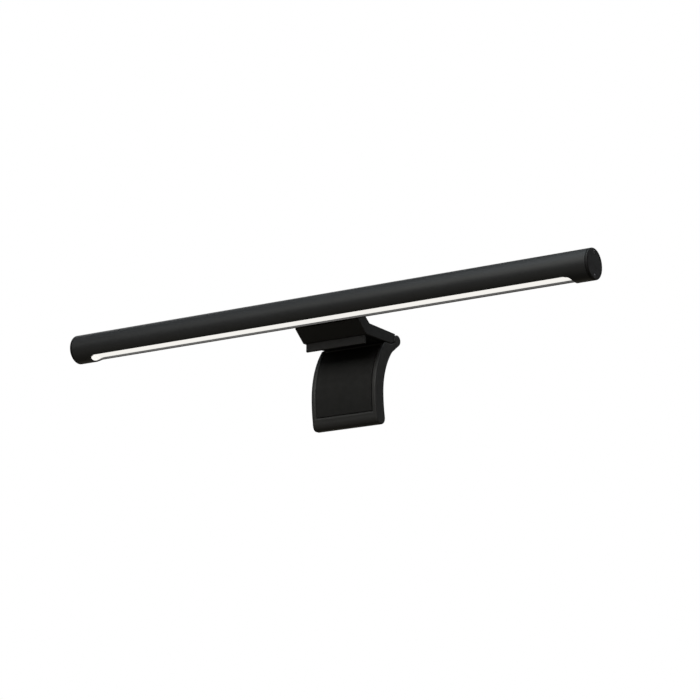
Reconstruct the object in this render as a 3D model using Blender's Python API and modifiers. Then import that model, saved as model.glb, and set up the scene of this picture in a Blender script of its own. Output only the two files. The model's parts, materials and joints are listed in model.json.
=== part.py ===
"""A light bar for a computer monitor: an LED bar that magnets hold in a saddle, on a weighted,
sprung clamp that straddles the monitor's top edge.

Metres. +X runs along the bar, to the right for someone facing the monitor, +Y to the back of the
monitor and +Z up. The origin is the middle of the pad that rests on the monitor's top edge.
"""

import math

import bmesh
import bpy
from mathutils import Matrix

MM = 0.001
GAP = 0.3 * MM

# Light bar. Its sections are given as (y, z) from the bar's own axis.
BAR_AXIS = (-33.5 * MM, 18.8 * MM)
BAR_HALF = 225.6 * MM
BAR_RADIUS = 11.25 * MM
BAR_WALL = 1.1 * MM
BORE_RADIUS = BAR_RADIUS - BAR_WALL
INNER_RADIUS = BORE_RADIUS - GAP
CAP_THICKNESS = 1.9 * MM
CAP_RIM = 1.15 * MM
CAP_RECESS = 0.25 * MM
CAP_SCREW_RING = 8.5 * MM
CAP_SCREW_FACE = BAR_HALF - CAP_RECESS - 0.05 * MM
CAP_SCREW_LENGTH = 9 * MM
TONGUE_INNER = 8.4 * MM
TONGUE_HALF = 5.5 * MM
TONGUE_END = BAR_HALF - 8 * MM
TUBE_HALF = BAR_HALF - CAP_THICKNESS - GAP
BOSS_RADIUS = 2.0 * MM
BOSS_START = 212.5 * MM

# The window milled into the bar's underside, with a scooped end on each side. The diffuser's face
# is tilted against it, so that it is flush at the front and set back at the rear.
WINDOW_HEIGHT = -8.28 * MM
WINDOW_TILT = -1
WINDOW_FLAT_HALF = 206 * MM
WINDOW_FLOOR = -BAR_RADIUS - 3 * MM
SCOOP_RADIUS = 5 * MM
REBATE_REAR = [(-4.5 * MM, -6.6 * MM), (-4.5 * MM, -9.2 * MM)]
DIFFUSER_TOP = -5.2 * MM
DIFFUSER_HALF = 211.7 * MM
DIFFUSER_TILT = 4.8
DIFFUSER_RISE = 0.88 * MM
NOSE_REAR = [(-5 * MM, -8.7 * MM), (-5 * MM, -6.9 * MM)]
REFLECTOR_FRONT = [(-3.9, -1.8), (-4.6, -1.8), (-8.2, -4.7), (-7.5, -4.85)]
REFLECTOR_REAR_CENTRE = (2.9 * MM, -6.9 * MM)
REFLECTOR_REAR_RADII = (4.6 * MM, 5.1 * MM)
REFLECTOR_REAR_ANGLES = (78, 24)

# Rail and boards inside the bar.
RAIL_HALF = 216.3 * MM
RAIL_HALF_WIDTH = 9.5 * MM
RAIL_WEB = 1.2 * MM
RAIL_RIB = (7.2 * MM, 8.3 * MM)
RAIL_RIB_TOP = 4.9 * MM
RAIL_FLOOR = -MM
LED_BOARD_HALF = (205 * MM, 3.6 * MM)
LED_BOARD_BOTTOM = -1.3 * MM
LED_COUNT = 30
LED_PITCH = 13.6 * MM
LED_ROW = 1.8 * MM
LED_HALF = (1.4 * MM, 1.2 * MM)
LED_HEIGHTS = (-2.1 * MM, -1.2 * MM)
LEAD_HOLE = ((-9 * MM, -3 * MM), (-4 * MM, 3 * MM))
LEAD_RADIUS = 0.5 * MM
LEAD_SPACING = 1.4 * MM
LEAD_START = (-13.5 * MM, 4.1 * MM)
LEAD_BEND = (-10.4 * MM, 0.1 * MM)
LEAD_BEND_RADIUS = 4 * MM
BOARD_ENDS = (-92 * MM, -12 * MM)
BOARD_HALF_WIDTH = 6.8 * MM
BOARD_BOTTOM = 2.1 * MM
BOARD_THICKNESS = 1.0 * MM
BOARD_TOP = BOARD_BOTTOM + BOARD_THICKNESS
PARTS_BASE = BOARD_TOP + GAP
SHEET_HALF_WIDTH = 6.6 * MM
SHEET_HEIGHTS = (1.5 * MM, 1.8 * MM)
BOARD_SCREWS = (-88 * MM, -16 * MM)
BOARD_SCREW_HEAD = (1.9 * MM, 1.1 * MM)
BOARD_SCREW_LENGTH = 3 * MM
USB_SPOT = (-46 * MM, 0.2 * MM)
USB_NOTCH_HALF = 6.5 * MM
PORT_SLOT = (12.4 * MM, 6.2 * MM)
SURROUND_SLOT = (11.8 * MM, 5.6 * MM)
SURROUND_HOLE = (9.6 * MM, 3.8 * MM)
SURROUND_ENDS = (9.2 * MM, 11.1 * MM)
SOCKET_SLOT = (9 * MM, 3.2 * MM)
SOCKET_MOUTH = (8.3 * MM, 2.5 * MM)
SOCKET_ENDS = (4.3 * MM, 10.7 * MM)
SOCKET_TONGUE_HALF = (3.3 * MM, 0.35 * MM)
SOCKET_TONGUE_ENDS = (5 * MM, 10.2 * MM)
KEEPER_INNER = 9.3 * MM
KEEPER_ANGLES = (-29, -4.5)
KEEPER_HALF = 24 * MM

# Fasteners: shank radius, and the clearance hole round it.
SHANK = 0.85 * MM
SHANK_HOLE = SHANK + GAP
HEAD = 1.55 * MM
HEAD_ROOM = 0.55 * MM

# Bracket: saddle, neck and arm, as (y, z) from the origin.
BRACKET_HALF = 27.8 * MM
SADDLE_RADIUS = 12.4 * MM
SADDLE_BACK = 15.2 * MM
SADDLE_TOP_ANGLE = 40
SADDLE_LOW_ANGLE = -43.2
SADDLE_BACK_START = -4
LINER_ANGLES = (-42.5, 39.5)
LINER_HALF = 27.2 * MM
NECK_LOW = (-13.4 * MM, 1.3 * MM)
ARM_BOTTOM = 1.1 * MM
ARM_BOTTOM_ENDS = (-12.9 * MM, 20.5 * MM)
ARM_HOLLOW = ((-25 * MM, -9.5 * MM, 2 * MM), (25 * MM, 18 * MM, 8 * MM))
BRACKET_EDGE = 0.6 * MM
ARM_TOP_FRONT = (-8.6 * MM, 10.3 * MM)
ARM_TOP_REAR = (26.3 * MM, 9.5 * MM)
MAGNET_ANGLE = -24
MAGNET_X = 13 * MM
MAGNET_HALF = (6.7 * MM, 1.5 * MM, 3.5 * MM)
MAGNET_DISTANCE = 14.25 * MM
MAGNET_POCKET_DEPTH = 4 * MM
PLATE_HALF = 25.8 * MM
PLATE_THICKNESS = 1.5 * MM
PLATE_REAR = 20 * MM
LIP_FRONT = -12.5 * MM
LIP_THICKNESS = 2 * MM
LIP_BOTTOM = -5.3 * MM
PLATE_SCREWS = [(x * MM, y * MM) for x in (-18, 18) for y in (-5.5, 6)]
PLATE_SCREW_FACE = ARM_BOTTOM + 0.05 * MM
PLATE_SCREW_LENGTH = 6 * MM
POST_RADIUS = 2.4 * MM
POST_ENDS = (3.2 * MM, 8.5 * MM)
POST_HOLE_ENDS = (2.8 * MM, 8 * MM)
PAD_HALF = (24 * MM, 9 * MM)
PAD_THICKNESS = 0.8 * MM
LIP_PAD_THICKNESS = 0.9 * MM
LIP_PAD_MARGIN = 0.4 * MM

# Hinge and clamp. The clamp's sections are given as (y, z) from the hinge's axis.
HINGE = (29.1 * MM, 4.8 * MM)
KNUCKLE_RADIUS = 4.2 * MM
KNUCKLE_INNER = 19.2 * MM
BARREL_HALF = 18 * MM
BARREL_BORE = 3.3 * MM
WEB_FRONT = 17 * MM
WEB_BEND = 24.5 * MM
WEB_TOP = 9.1 * MM
BUSH_FLANGE = (3.9 * MM, 0.6 * MM)
BUSH_LENGTH = 3.2 * MM
PIN_RADIUS = 1.5 * MM
PIN_BORE = PIN_RADIUS + GAP
PIN_ENDS = (-26.85 * MM, 26.25 * MM)
SPRING_ENDS = (2.6 * MM, 13.8 * MM)
SPRING_RADIUS = 2.35 * MM
SPRING_WIRE = 0.35 * MM
SPRING_TURNS = 6
SPRING_LEG = -5.4 * MM
SPRING_SLOT_HALF = 0.7 * MM
PLUG_RADIUS = 2.4 * MM
CLAMP_HALF = 28.35 * MM
CLAMP_THICKNESS = 11.6 * MM
CLAMP_KNEE = -42.5 * MM
UPPER_CENTRE = 28.9 * MM
UPPER_RADIUS = 60 * MM
LOWER_CENTRE = 72.9 * MM
LOWER_RADIUS = 104 * MM
CLAMP_TOP = -4.05 * MM
CLAMP_BOTTOM = -67.2 * MM
FRONT_CORNER = (4 * MM, 6 * MM)
REAR_CORNER = (5.2 * MM, 5.2 * MM)
CLAMP_EDGE = 0.9 * MM
FRONT_ANGLES = (39.6, -10.3)
REAR_ANGLES = (41.5, -11.8)
NOTCH_RADIUS = KNUCKLE_RADIUS + 0.7 * MM
WEB_NOTCH_ENDS = (-9 * MM, 6 * MM)
PAD_RECESS = (24.3 * MM, 1.9 * MM)
PAD_ANGLES = (38, -8.65)
PAD_FACE_DEPTH = 0.5 * MM
FRONT_WALL_DEPTH = 3.4 * MM
CAVITY_HALF = 26 * MM
CAVITY_ANGLES = (35, -10.9)
COVER_DEPTH = 10.1 * MM
CLAMP_SCREWS = [(x * MM, z * MM) for x in (-19, 19) for z in (-30, -56)]
CLAMP_SCREW_DEPTH = 0.3 * MM
CLAMP_SCREW_LENGTH = 7.1 * MM
WEIGHT_HOLE = 2.7 * MM
COVER_POST = (2.3 * MM, 4.5 * MM)

FINE = 56
MEDIUM = 28
COARSE = 14


# ---------------------------------------------------------------- scene, materials, placing


def clear_scene():
    for piece in list(bpy.data.objects):
        bpy.data.objects.remove(piece, do_unlink=True)


def make_collection(name, shown):
    collection = bpy.data.collections.new(name)
    collection.hide_render = not shown
    bpy.context.scene.collection.children.link(collection)
    return collection


def make_material(name, colour, roughness, metallic=0.0):
    material = bpy.data.materials.new(name)
    material.use_nodes = True
    shader = material.node_tree.nodes["Principled BSDF"]
    shader.inputs["Base Color"].default_value = (*colour, 1)
    shader.inputs["Roughness"].default_value = roughness
    shader.inputs["Metallic"].default_value = metallic
    material.diffuse_color = (*colour, 1)
    return material


def make_empty(name, section):
    empty = bpy.data.objects.new(name, None)
    empty.location = (0, *section)
    PARTS.objects.link(empty)
    return empty


def place(name, mesh, material, parent=None, location=(0, 0, 0), rotation=(0, 0, 0)):
    """A visible piece, made from a mesh."""
    piece = bpy.data.objects.new(name, mesh)
    piece.location = location
    piece.rotation_euler = [math.radians(angle) for angle in rotation]
    piece.parent = parent
    mesh.materials.append(material)
    mesh.shade_smooth()
    mesh.set_sharp_from_angle(angle=math.radians(35))
    PARTS.objects.link(piece)
    return piece


def tool(name, mesh, parent=None, location=(0, 0, 0), rotation=(0, 0, 0)):
    """A hidden shape that cuts a piece or is joined to it."""
    helper = bpy.data.objects.new(name, mesh)
    helper.location = location
    helper.rotation_euler = [math.radians(angle) for angle in rotation]
    helper.parent = parent
    helper.hide_render = True
    helper.display_type = "WIRE"
    CUTTERS.objects.link(helper)
    return helper


def boolean(piece, helper, operation):
    modifier = piece.modifiers.new(helper.name, "BOOLEAN")
    modifier.operation = operation
    modifier.solver = "EXACT"
    modifier.object = helper


def cut(piece, *helpers):
    for helper in helpers:
        boolean(piece, helper, "DIFFERENCE")


def join(piece, *helpers):
    for helper in helpers:
        boolean(piece, helper, "UNION")


def bevel(piece, width, segments=1):
    modifier = piece.modifiers.new("edges", "BEVEL")
    modifier.width = width
    modifier.segments = segments
    modifier.limit_method = "ANGLE"
    modifier.angle_limit = math.radians(50)


# ---------------------------------------------------------------- outlines


def arc(centre, radius, start, end, steps):
    """Points of an arc, from one angle to the other in degrees, with both ends."""
    angles = [math.radians(start + (end - start) * i / steps) for i in range(steps + 1)]
    return [(centre[0] + radius * math.cos(a), centre[1] + radius * math.sin(a)) for a in angles]


def circle(centre, radius, segments):
    return arc(centre, radius, 0, 360, segments)[:-1]


def slot_outline(centre, width, height, steps=8):
    """A stadium: a slot with round ends."""
    radius = height / 2
    reach = width / 2 - radius
    right = arc((centre[0] + reach, centre[1]), radius, -90, 90, steps)
    left = arc((centre[0] - reach, centre[1]), radius, 90, 270, steps)
    return right + left


def band(centre, inner, outer, start, end, steps):
    """A stretch of a ring."""
    return arc(centre, outer, start, end, steps) + arc(centre, inner, end, start, steps)


# ---------------------------------------------------------------- meshes


def mesh_of_curve(curve):
    """The curve's evaluated mesh, with its caps welded on."""
    holder = bpy.data.objects.new(curve.name, curve)
    bpy.context.scene.collection.objects.link(holder)
    evaluated = holder.evaluated_get(bpy.context.evaluated_depsgraph_get())
    mesh = bpy.data.meshes.new_from_object(evaluated)
    bpy.data.objects.remove(holder, do_unlink=True)
    bpy.data.curves.remove(curve)
    shell = bmesh.new()
    shell.from_mesh(mesh)
    bmesh.ops.remove_doubles(shell, verts=shell.verts, dist=1e-7)
    bmesh.ops.recalc_face_normals(shell, faces=shell.faces)
    shell.to_mesh(mesh)
    shell.free()
    return mesh


def prism(outlines, low, high, along="X"):
    """A flat outline drawn out along an axis. A second outline inside the first is a hole.

    The outline holds (y, z) along X, (x, z) along Y and (x, y) along Z."""
    curve = bpy.data.curves.new("outline", "CURVE")
    curve.dimensions = "2D"
    curve.fill_mode = "BOTH"
    curve.extrude = (high - low) / 2
    for outline in outlines:
        spline = curve.splines.new("POLY")
        spline.points.add(len(outline) - 1)
        for point, (u, v) in zip(spline.points, outline):
            point.co = (u, v, 0, 1)
        spline.use_cyclic_u = True
    mesh = mesh_of_curve(curve)
    middle = (low + high) / 2
    turns = {
        "X": Matrix(((0, 0, 1, middle), (1, 0, 0, 0), (0, 1, 0, 0), (0, 0, 0, 1))),
        "Y": Matrix(((1, 0, 0, 0), (0, 0, -1, middle), (0, 1, 0, 0), (0, 0, 0, 1))),
        "Z": Matrix.Translation((0, 0, middle)),
    }
    mesh.transform(turns[along])
    return mesh


def cylinder(radius, low, high, centre=(0, 0), along="X", segments=MEDIUM, end_radius=None):
    """A round bar or, with an end radius, a cone along an axis."""
    shell = bmesh.new()
    bmesh.ops.create_cone(
        shell,
        cap_ends=True,
        segments=segments,
        radius1=radius,
        radius2=radius if end_radius is None else end_radius,
        depth=high - low,
    )
    u, v = centre
    middle = (low + high) / 2
    turns = {
        "X": Matrix(((0, 0, 1, middle), (1, 0, 0, u), (0, 1, 0, v), (0, 0, 0, 1))),
        "Y": Matrix(((0, 1, 0, u), (0, 0, 1, middle), (1, 0, 0, v), (0, 0, 0, 1))),
        "Z": Matrix.Translation((u, v, middle)),
    }
    shell.transform(turns[along])
    mesh = bpy.data.meshes.new("cylinder")
    shell.to_mesh(mesh)
    shell.free()
    return mesh


def boxes(corners):
    """Boxes in one mesh, each given by its lowest and highest corner."""
    shell = bmesh.new()
    for low, high in corners:
        middle = [(a + b) / 2 for a, b in zip(low, high)]
        side = [b - a for a, b in zip(low, high)]
        matrix = Matrix.Translation(middle) @ Matrix.Diagonal((*side, 1))
        bmesh.ops.create_cube(shell, size=1, matrix=matrix)
    mesh = bpy.data.meshes.new("box")
    shell.to_mesh(mesh)
    shell.free()
    return mesh


def box(low, high):
    return boxes([(low, high)])


def turned(name, profile, material, parent, location, rotation, closed=False, segments=COARSE):
    """A turned piece. Its profile of (radius, height) runs from the top down the outer side."""
    mesh = bpy.data.meshes.new(name)
    shell = bmesh.new()
    points = [shell.verts.new((radius, 0, height)) for radius, height in profile]
    ends = points + points[:1] if closed else points
    for first, second in zip(ends, ends[1:]):
        shell.edges.new((first, second))
    shell.to_mesh(mesh)
    shell.free()
    piece = place(name, mesh, material, parent, location, rotation)
    screw = piece.modifiers.new("turn", "SCREW")
    screw.steps = segments
    screw.render_steps = segments
    screw.use_merge_vertices = True
    screw.merge_threshold = 1e-6
    return piece


def sink_cone(face, inwards, centre, along):
    """A cutter for a countersink. The screw's head is level with the face and its shank points
    up the axis when inwards is 1, or down it when inwards is -1."""
    widest = HEAD + HEAD_ROOM
    narrowest = SHANK_HOLE * 0.9
    ends = (face - inwards * MM, face + inwards * (widest - narrowest))
    radii = (widest + MM, narrowest)
    if inwards < 0:
        ends, radii = ends[::-1], radii[::-1]
    return cylinder(radii[0], *ends, centre, along, COARSE, radii[1])


def flat_screw(name, length, material, parent, location, rotation):
    """A countersunk screw, with its head's top at the origin and its shank down -Z."""
    head = HEAD - SHANK
    profile = [(0, 0), (HEAD, 0), (HEAD, -0.2 * MM), (SHANK, -head - 0.2 * MM)]
    profile += [(SHANK, -length), (0, -length)]
    return turned(name, profile, material, parent, location, rotation)


# ---------------------------------------------------------------- light bar


def window_outline(flat_half):
    """Side view (x, z) of the milled window: flat, with a round scoop at each end."""
    middle = WINDOW_HEIGHT - SCOOP_RADIUS
    reach = flat_half + SCOOP_RADIUS
    right = arc((flat_half, middle), SCOOP_RADIUS, 90, 0, 10)
    left = arc((-flat_half, middle), SCOOP_RADIUS, 180, 90, 10)
    return left + right + [(reach, WINDOW_FLOOR), (-reach, WINDOW_FLOOR)]


def window_edge():
    """Unit vectors of the wall's front end: outwards, and across it towards the window."""
    angle = math.pi + math.asin(-WINDOW_HEIGHT / BAR_RADIUS) + math.radians(WINDOW_TILT)
    outwards = (math.cos(angle), math.sin(angle))
    return outwards, (-outwards[1], outwards[0])


def edge_point(radius, across):
    outwards, sideways = window_edge()
    return tuple(radius * a + across * b for a, b in zip(outwards, sideways))


def make_bar_tube(parent, material):
    rings = [circle((0, 0), BAR_RADIUS, FINE), circle((0, 0), BORE_RADIUS, FINE)]
    tube = place("bar_tube", prism(rings, -TUBE_HALF, TUBE_HALF), material, parent)
    for side in (-1, 1):
        for height in (-CAP_SCREW_RING, CAP_SCREW_RING):
            ends = sorted((side * BOSS_START, side * TUBE_HALF))
            boss = cylinder(BOSS_RADIUS, *ends, (0, height), segments=COARSE)
            join(tube, tool("boss", boss, parent))
            ends = sorted((side * (BOSS_START - MM), side * BAR_HALF))
            hole = cylinder(SHANK_HOLE, *ends, (0, height), segments=COARSE)
            cut(tube, tool("boss_hole", hole, parent))
    window = prism([window_outline(WINDOW_FLAT_HALF)], -2 * BAR_RADIUS, 2 * BAR_RADIUS, "Y")
    cut(tube, tool("window", window, parent, rotation=(WINDOW_TILT, 0, 0)))
    rebate = [edge_point(BAR_RADIUS + MM, 0), edge_point(BORE_RADIUS - MM, 0), *REBATE_REAR]
    cut(tube, tool("rebate", prism([rebate], -WINDOW_FLAT_HALF, WINDOW_FLAT_HALF), parent))
    port = prism([slot_outline(USB_SPOT, *PORT_SLOT)], BORE_RADIUS / 2, BAR_RADIUS + MM, "Y")
    cut(tube, tool("port", port, parent))


def make_diffuser(parent, material):
    reach = math.degrees(math.asin(-DIFFUSER_TOP / INNER_RADIUS))
    segment = arc((0, 0), INNER_RADIUS, -180 + reach, -reach, 28)
    diffuser = place("diffuser", prism([segment], -DIFFUSER_HALF, DIFFUSER_HALF), material, parent)
    nose = [edge_point(INNER_RADIUS - 0.5 * MM, GAP), edge_point(BAR_RADIUS, GAP), *NOSE_REAR]
    nose_half = WINDOW_FLAT_HALF - GAP
    join(diffuser, tool("nose", prism([nose], -nose_half, nose_half), parent))
    trough = prism([window_outline(WINDOW_FLAT_HALF + GAP)], -2 * BAR_RADIUS, 2 * BAR_RADIUS, "Y")
    cut(diffuser, tool("trough", trough, parent, (0, 0, DIFFUSER_RISE), (DIFFUSER_TILT, 0, 0)))


def make_reflectors(parent, material):
    half = LED_BOARD_HALF[0]
    front = [(y * MM, z * MM) for y, z in REFLECTOR_FRONT]
    place("reflector_front", prism([front], -half, half), material, parent)
    rear = band(REFLECTOR_REAR_CENTRE, *REFLECTOR_REAR_RADII, *REFLECTOR_REAR_ANGLES, 8)
    place("reflector_rear", prism([rear], -half, half), material, parent)


def make_led_rail(parent, material):
    inner, outer = RAIL_RIB
    right = [(RAIL_HALF_WIDTH, 0), (RAIL_HALF_WIDTH, RAIL_WEB), (outer, RAIL_WEB)]
    right += [(outer, RAIL_RIB_TOP), (inner, RAIL_RIB_TOP), (inner, RAIL_WEB)]
    left = [(-y, z) for y, z in reversed(right)]
    rail = place("led_rail", prism([right + left], -RAIL_HALF, RAIL_HALF), material, parent)
    low = (USB_SPOT[0] - USB_NOTCH_HALF, SOCKET_ENDS[0] - 0.4 * MM, RAIL_FLOOR)
    high = (USB_SPOT[0] + USB_NOTCH_HALF, BAR_RADIUS, RAIL_RIB_TOP + MM)
    cut(rail, tool("port_notch", box(low, high), parent))
    low, high = LEAD_HOLE
    lead_hole = box((*low, RAIL_FLOOR), (*high, 2 * RAIL_WEB))
    cut(rail, tool("lead_hole", lead_hole, parent))
    for x in BOARD_SCREWS:
        hole = cylinder(SHANK_HOLE, RAIL_FLOOR, 2 * RAIL_WEB, (x, 0), "Z", COARSE)
        cut(rail, tool("rail_hole", hole, parent))


def make_led_board(parent, material):
    half_length, half_width = LED_BOARD_HALF
    half_chip, half_chip_width = LED_HALF
    bottom, top = LED_HEIGHTS
    low = (-half_length, -half_width, LED_BOARD_BOTTOM)
    board = place("led_board", box(low, (half_length, half_width, -GAP)), material, parent)
    first = -LED_PITCH * (LED_COUNT - 1) / 2
    chips = []
    for row in (-LED_ROW, LED_ROW):
        for index in range(LED_COUNT):
            x = first + index * LED_PITCH
            low = (x - half_chip, row - half_chip_width, bottom)
            chips.append((low, (x + half_chip, row + half_chip_width, top)))
    join(board, tool("led_chips", boxes(chips), parent))


def make_control_board(parent, green, film):
    low, high = BOARD_ENDS
    corner = (low, -BOARD_HALF_WIDTH, BOARD_BOTTOM)
    board = place("control_board", box(corner, (high, BOARD_HALF_WIDTH, BOARD_TOP)), green, parent)
    under, over = SHEET_HEIGHTS
    corner = (low, -SHEET_HALF_WIDTH, under)
    sheet = place("insulating_sheet", box(corner, (high, SHEET_HALF_WIDTH, over)), film, parent)
    start = (USB_SPOT[0] - USB_NOTCH_HALF, SOCKET_ENDS[0] - 0.7 * MM, under - GAP)
    end = (USB_SPOT[0] + USB_NOTCH_HALF, SHEET_HALF_WIDTH + MM, over + GAP)
    cut(sheet, tool("sheet_notch", box(start, end), parent))
    for x in BOARD_SCREWS:
        hole = cylinder(SHANK_HOLE, under - GAP, BOARD_TOP + MM, (x, 0), "Z", COARSE)
        cut(board, tool("board_hole", hole, parent))
        cut(sheet, tool("sheet_hole", hole, parent))


def make_board_components(parent, black, tin, ferrite):
    def block(low, high, half_width, bottom, top):
        corner = (low * MM, -half_width * MM, PARTS_BASE + bottom * MM)
        return box(corner, (high * MM, half_width * MM, PARTS_BASE + top * MM))

    place("microcontroller", block(-71, -64, 3.5, 0, 1), black, parent)
    bevel(place("inductor", block(-37, -31, 3, 0, 3.2), ferrite, parent), 0.8 * MM)
    for name, x in (("capacitor_1", -25.5 * MM), ("capacitor_2", -20.5 * MM)):
        can = cylinder(2 * MM, PARTS_BASE, PARTS_BASE + 4.4 * MM, (x, 0), "Z", COARSE)
        place(name, can, tin, parent)
    radio = place("wireless_module", block(-85, -74, 5, 0, 0.8), black, parent)
    join(radio, tool("radio_shield", block(-83, -76, 4, 0.7, 2.2), parent))


def make_board_screws(parent, material):
    head, height = BOARD_SCREW_HEAD
    profile = [(0, height), (head, height), (head, 0), (SHANK, 0)]
    profile += [(SHANK, -BOARD_SCREW_LENGTH), (0, -BOARD_SCREW_LENGTH)]
    for name, x in zip(("board_screw_left", "board_screw_right"), BOARD_SCREWS):
        turned(name, profile, material, parent, (x, 0, PARTS_BASE), (0, 0, 0))


def make_usb_socket(parent, steel, plastic):
    start, end = SOCKET_ENDS
    shell = prism([slot_outline(USB_SPOT, *SOCKET_SLOT)], start, end, "Y")
    socket = place("usb_socket", shell, steel, parent)
    mouth = prism([slot_outline(USB_SPOT, *SOCKET_MOUTH)], start + 1.2 * MM, end + MM, "Y")
    cut(socket, tool("usb_mouth", mouth, parent))
    x, z = USB_SPOT
    half_width, half_height = SOCKET_TONGUE_HALF
    start, end = SOCKET_TONGUE_ENDS
    tongue = box((x - half_width, start, z - half_height), (x + half_width, end, z + half_height))
    join(socket, tool("usb_tongue", tongue, parent))
    rings = [slot_outline(USB_SPOT, *SURROUND_SLOT), slot_outline(USB_SPOT, *SURROUND_HOLE)]
    place("usb_surround", prism(rings, *SURROUND_ENDS, "Y"), plastic, parent)


def make_led_leads(parent, material):
    """Two short leads from the control board, down through the rail to the LED board."""
    for name, y in (("led_lead_positive", -LEAD_SPACING), ("led_lead_negative", LEAD_SPACING)):
        curve = bpy.data.curves.new(name, "CURVE")
        curve.dimensions = "3D"
        curve.bevel_depth = LEAD_RADIUS
        curve.bevel_resolution = 2
        curve.use_fill_caps = True
        path = [LEAD_START, *arc(LEAD_BEND, LEAD_BEND_RADIUS, 90, 0, 8)]
        spline = curve.splines.new("POLY")
        spline.points.add(len(path) - 1)
        for point, (x, z) in zip(spline.points, path):
            point.co = (x, y, z, 1)
        place(name, mesh_of_curve(curve), material, parent)


def make_keeper_plate(parent, material):
    outline = band((0, 0), KEEPER_INNER, INNER_RADIUS, *KEEPER_ANGLES, 8)
    place("keeper_plate", prism([outline], -KEEPER_HALF, KEEPER_HALF), material, parent)


def make_end_cap(parent, side, name, material):
    """A round cap with a thin rim, two screw holes and two curved tongues inside the tube."""
    face = side * BAR_HALF
    inner = side * (BAR_HALF - CAP_THICKNESS)
    flange = cylinder(BAR_RADIUS, *sorted((inner, face)), segments=FINE)
    cap = place("end_cap_" + name, flange, material, parent)
    ends = sorted((side * TONGUE_END, inner + side * GAP))
    ring = [circle((0, 0), INNER_RADIUS, FINE), circle((0, 0), TONGUE_INNER, FINE)]
    tongues = tool("tongues_" + name, prism(ring, *ends), parent)
    start, end = ends[0] - MM, ends[1] + MM
    for low, high in ((TONGUE_HALF, BAR_RADIUS), (-BAR_RADIUS, -TONGUE_HALF)):
        gap = box((start, -BAR_RADIUS, low), (end, BAR_RADIUS, high))
        cut(tongues, tool("tongue_cut", gap, parent))
    join(cap, tongues)
    recess = sorted((side * (BAR_HALF - CAP_RECESS), side * (BAR_HALF + MM)))
    disc = cylinder(BAR_RADIUS - CAP_RIM, *recess, segments=FINE)
    cut(cap, tool("face_recess", disc, parent))
    for height in (-CAP_SCREW_RING, CAP_SCREW_RING):
        hole = cylinder(SHANK_HOLE, *sorted((inner - side * MM, face)), (0, height), segments=COARSE)
        cut(cap, tool("cap_hole", hole, parent))
        sink = sink_cone(side * CAP_SCREW_FACE, -side, (0, height), "X")
        cut(cap, tool("cap_sink", sink, parent))


def make_cap_screws(parent, material):
    for side, name in ((-1, "left"), (1, "right")):
        for level, height in (("bottom", -CAP_SCREW_RING), ("top", CAP_SCREW_RING)):
            full = f"cap_screw_{name}_{level}"
            spot = (side * CAP_SCREW_FACE, 0, height)
            flat_screw(full, CAP_SCREW_LENGTH, material, parent, spot, (0, side * 90, 0))


# ---------------------------------------------------------------- bracket


def on_bar(radius, angle):
    """A point (y, z) at this distance and angle from the bar's axis."""
    turn = math.radians(angle)
    return (BAR_AXIS[0] + radius * math.cos(turn), BAR_AXIS[1] + radius * math.sin(turn))


def bracket_outline():
    saddle = arc(BAR_AXIS, SADDLE_RADIUS, SADDLE_TOP_ANGLE, SADDLE_LOW_ANGLE, 20)
    clearance = KNUCKLE_RADIUS + 0.5 * MM
    knuckle = arc(HINGE, clearance, 205, 118, 9)
    arm = [NECK_LOW] + [(y, ARM_BOTTOM) for y in ARM_BOTTOM_ENDS]
    top = [ARM_TOP_REAR, ARM_TOP_FRONT]
    back = arc(BAR_AXIS, SADDLE_BACK, SADDLE_BACK_START, SADDLE_TOP_ANGLE, 10)
    return saddle + arm + knuckle + top + back


def make_bracket_shell(material):
    outline = prism([bracket_outline()], -BRACKET_HALF, BRACKET_HALF)
    shell = place("bracket_shell", outline, material)
    bevel(shell, BRACKET_EDGE)
    barrel = cylinder(KNUCKLE_RADIUS, -BARREL_HALF, BARREL_HALF, HINGE)
    y, z = HINGE
    web = [(WEB_FRONT, ARM_BOTTOM), (WEB_BEND, ARM_BOTTOM), (y, z - KNUCKLE_RADIUS)]
    web += [(y, z + KNUCKLE_RADIUS), (WEB_BEND, WEB_TOP), (WEB_FRONT, WEB_TOP)]
    join(shell, tool("barrel", barrel))
    join(shell, tool("barrel_web", prism([web], -BARREL_HALF, BARREL_HALF)))
    bore_half = BARREL_HALF + 2 * MM
    cut(shell, tool("barrel_bore", cylinder(BARREL_BORE, -bore_half, bore_half, HINGE)))
    pocket_low = (-PLATE_HALF - GAP, LIP_FRONT - GAP, 0)
    pocket_high = (PLATE_HALF + GAP, PLATE_REAR + GAP, ARM_BOTTOM + PLATE_THICKNESS + GAP)
    cut(shell, tool("plate_pocket", box(pocket_low, pocket_high)))
    cut(shell, tool("arm_hollow", box(*ARM_HOLLOW)))
    for spot in PLATE_SCREWS:
        post = cylinder(POST_RADIUS, *POST_ENDS, spot, "Z", COARSE)
        join(shell, tool("screw_post", post))
        hole = cylinder(SHANK_HOLE, *POST_HOLE_ENDS, spot, "Z", COARSE)
        cut(shell, tool("post_hole", hole))
    half_x, half_depth, half_height = (side + GAP for side in MAGNET_HALF)
    for x in (-MAGNET_X, MAGNET_X):
        low = (x - half_x, -MAGNET_POCKET_DEPTH, -half_height)
        pocket = box(low, (x + half_x, half_depth, half_height))
        place_at = (0, *on_bar(MAGNET_DISTANCE, MAGNET_ANGLE))
        cut(shell, tool("magnet_pocket", pocket, None, place_at, (MAGNET_ANGLE, 0, 0)))
    for side in (-1, 1):
        middle = side * SPRING_ENDS[0]
        low = (middle - SPRING_SLOT_HALF, y + SPRING_LEG - 2 * GAP, z - SPRING_SLOT_HALF)
        high = (middle + SPRING_SLOT_HALF, y - 2.5 * MM, z + SPRING_SLOT_HALF)
        cut(shell, tool("spring_slot", box(low, high)))


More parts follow.
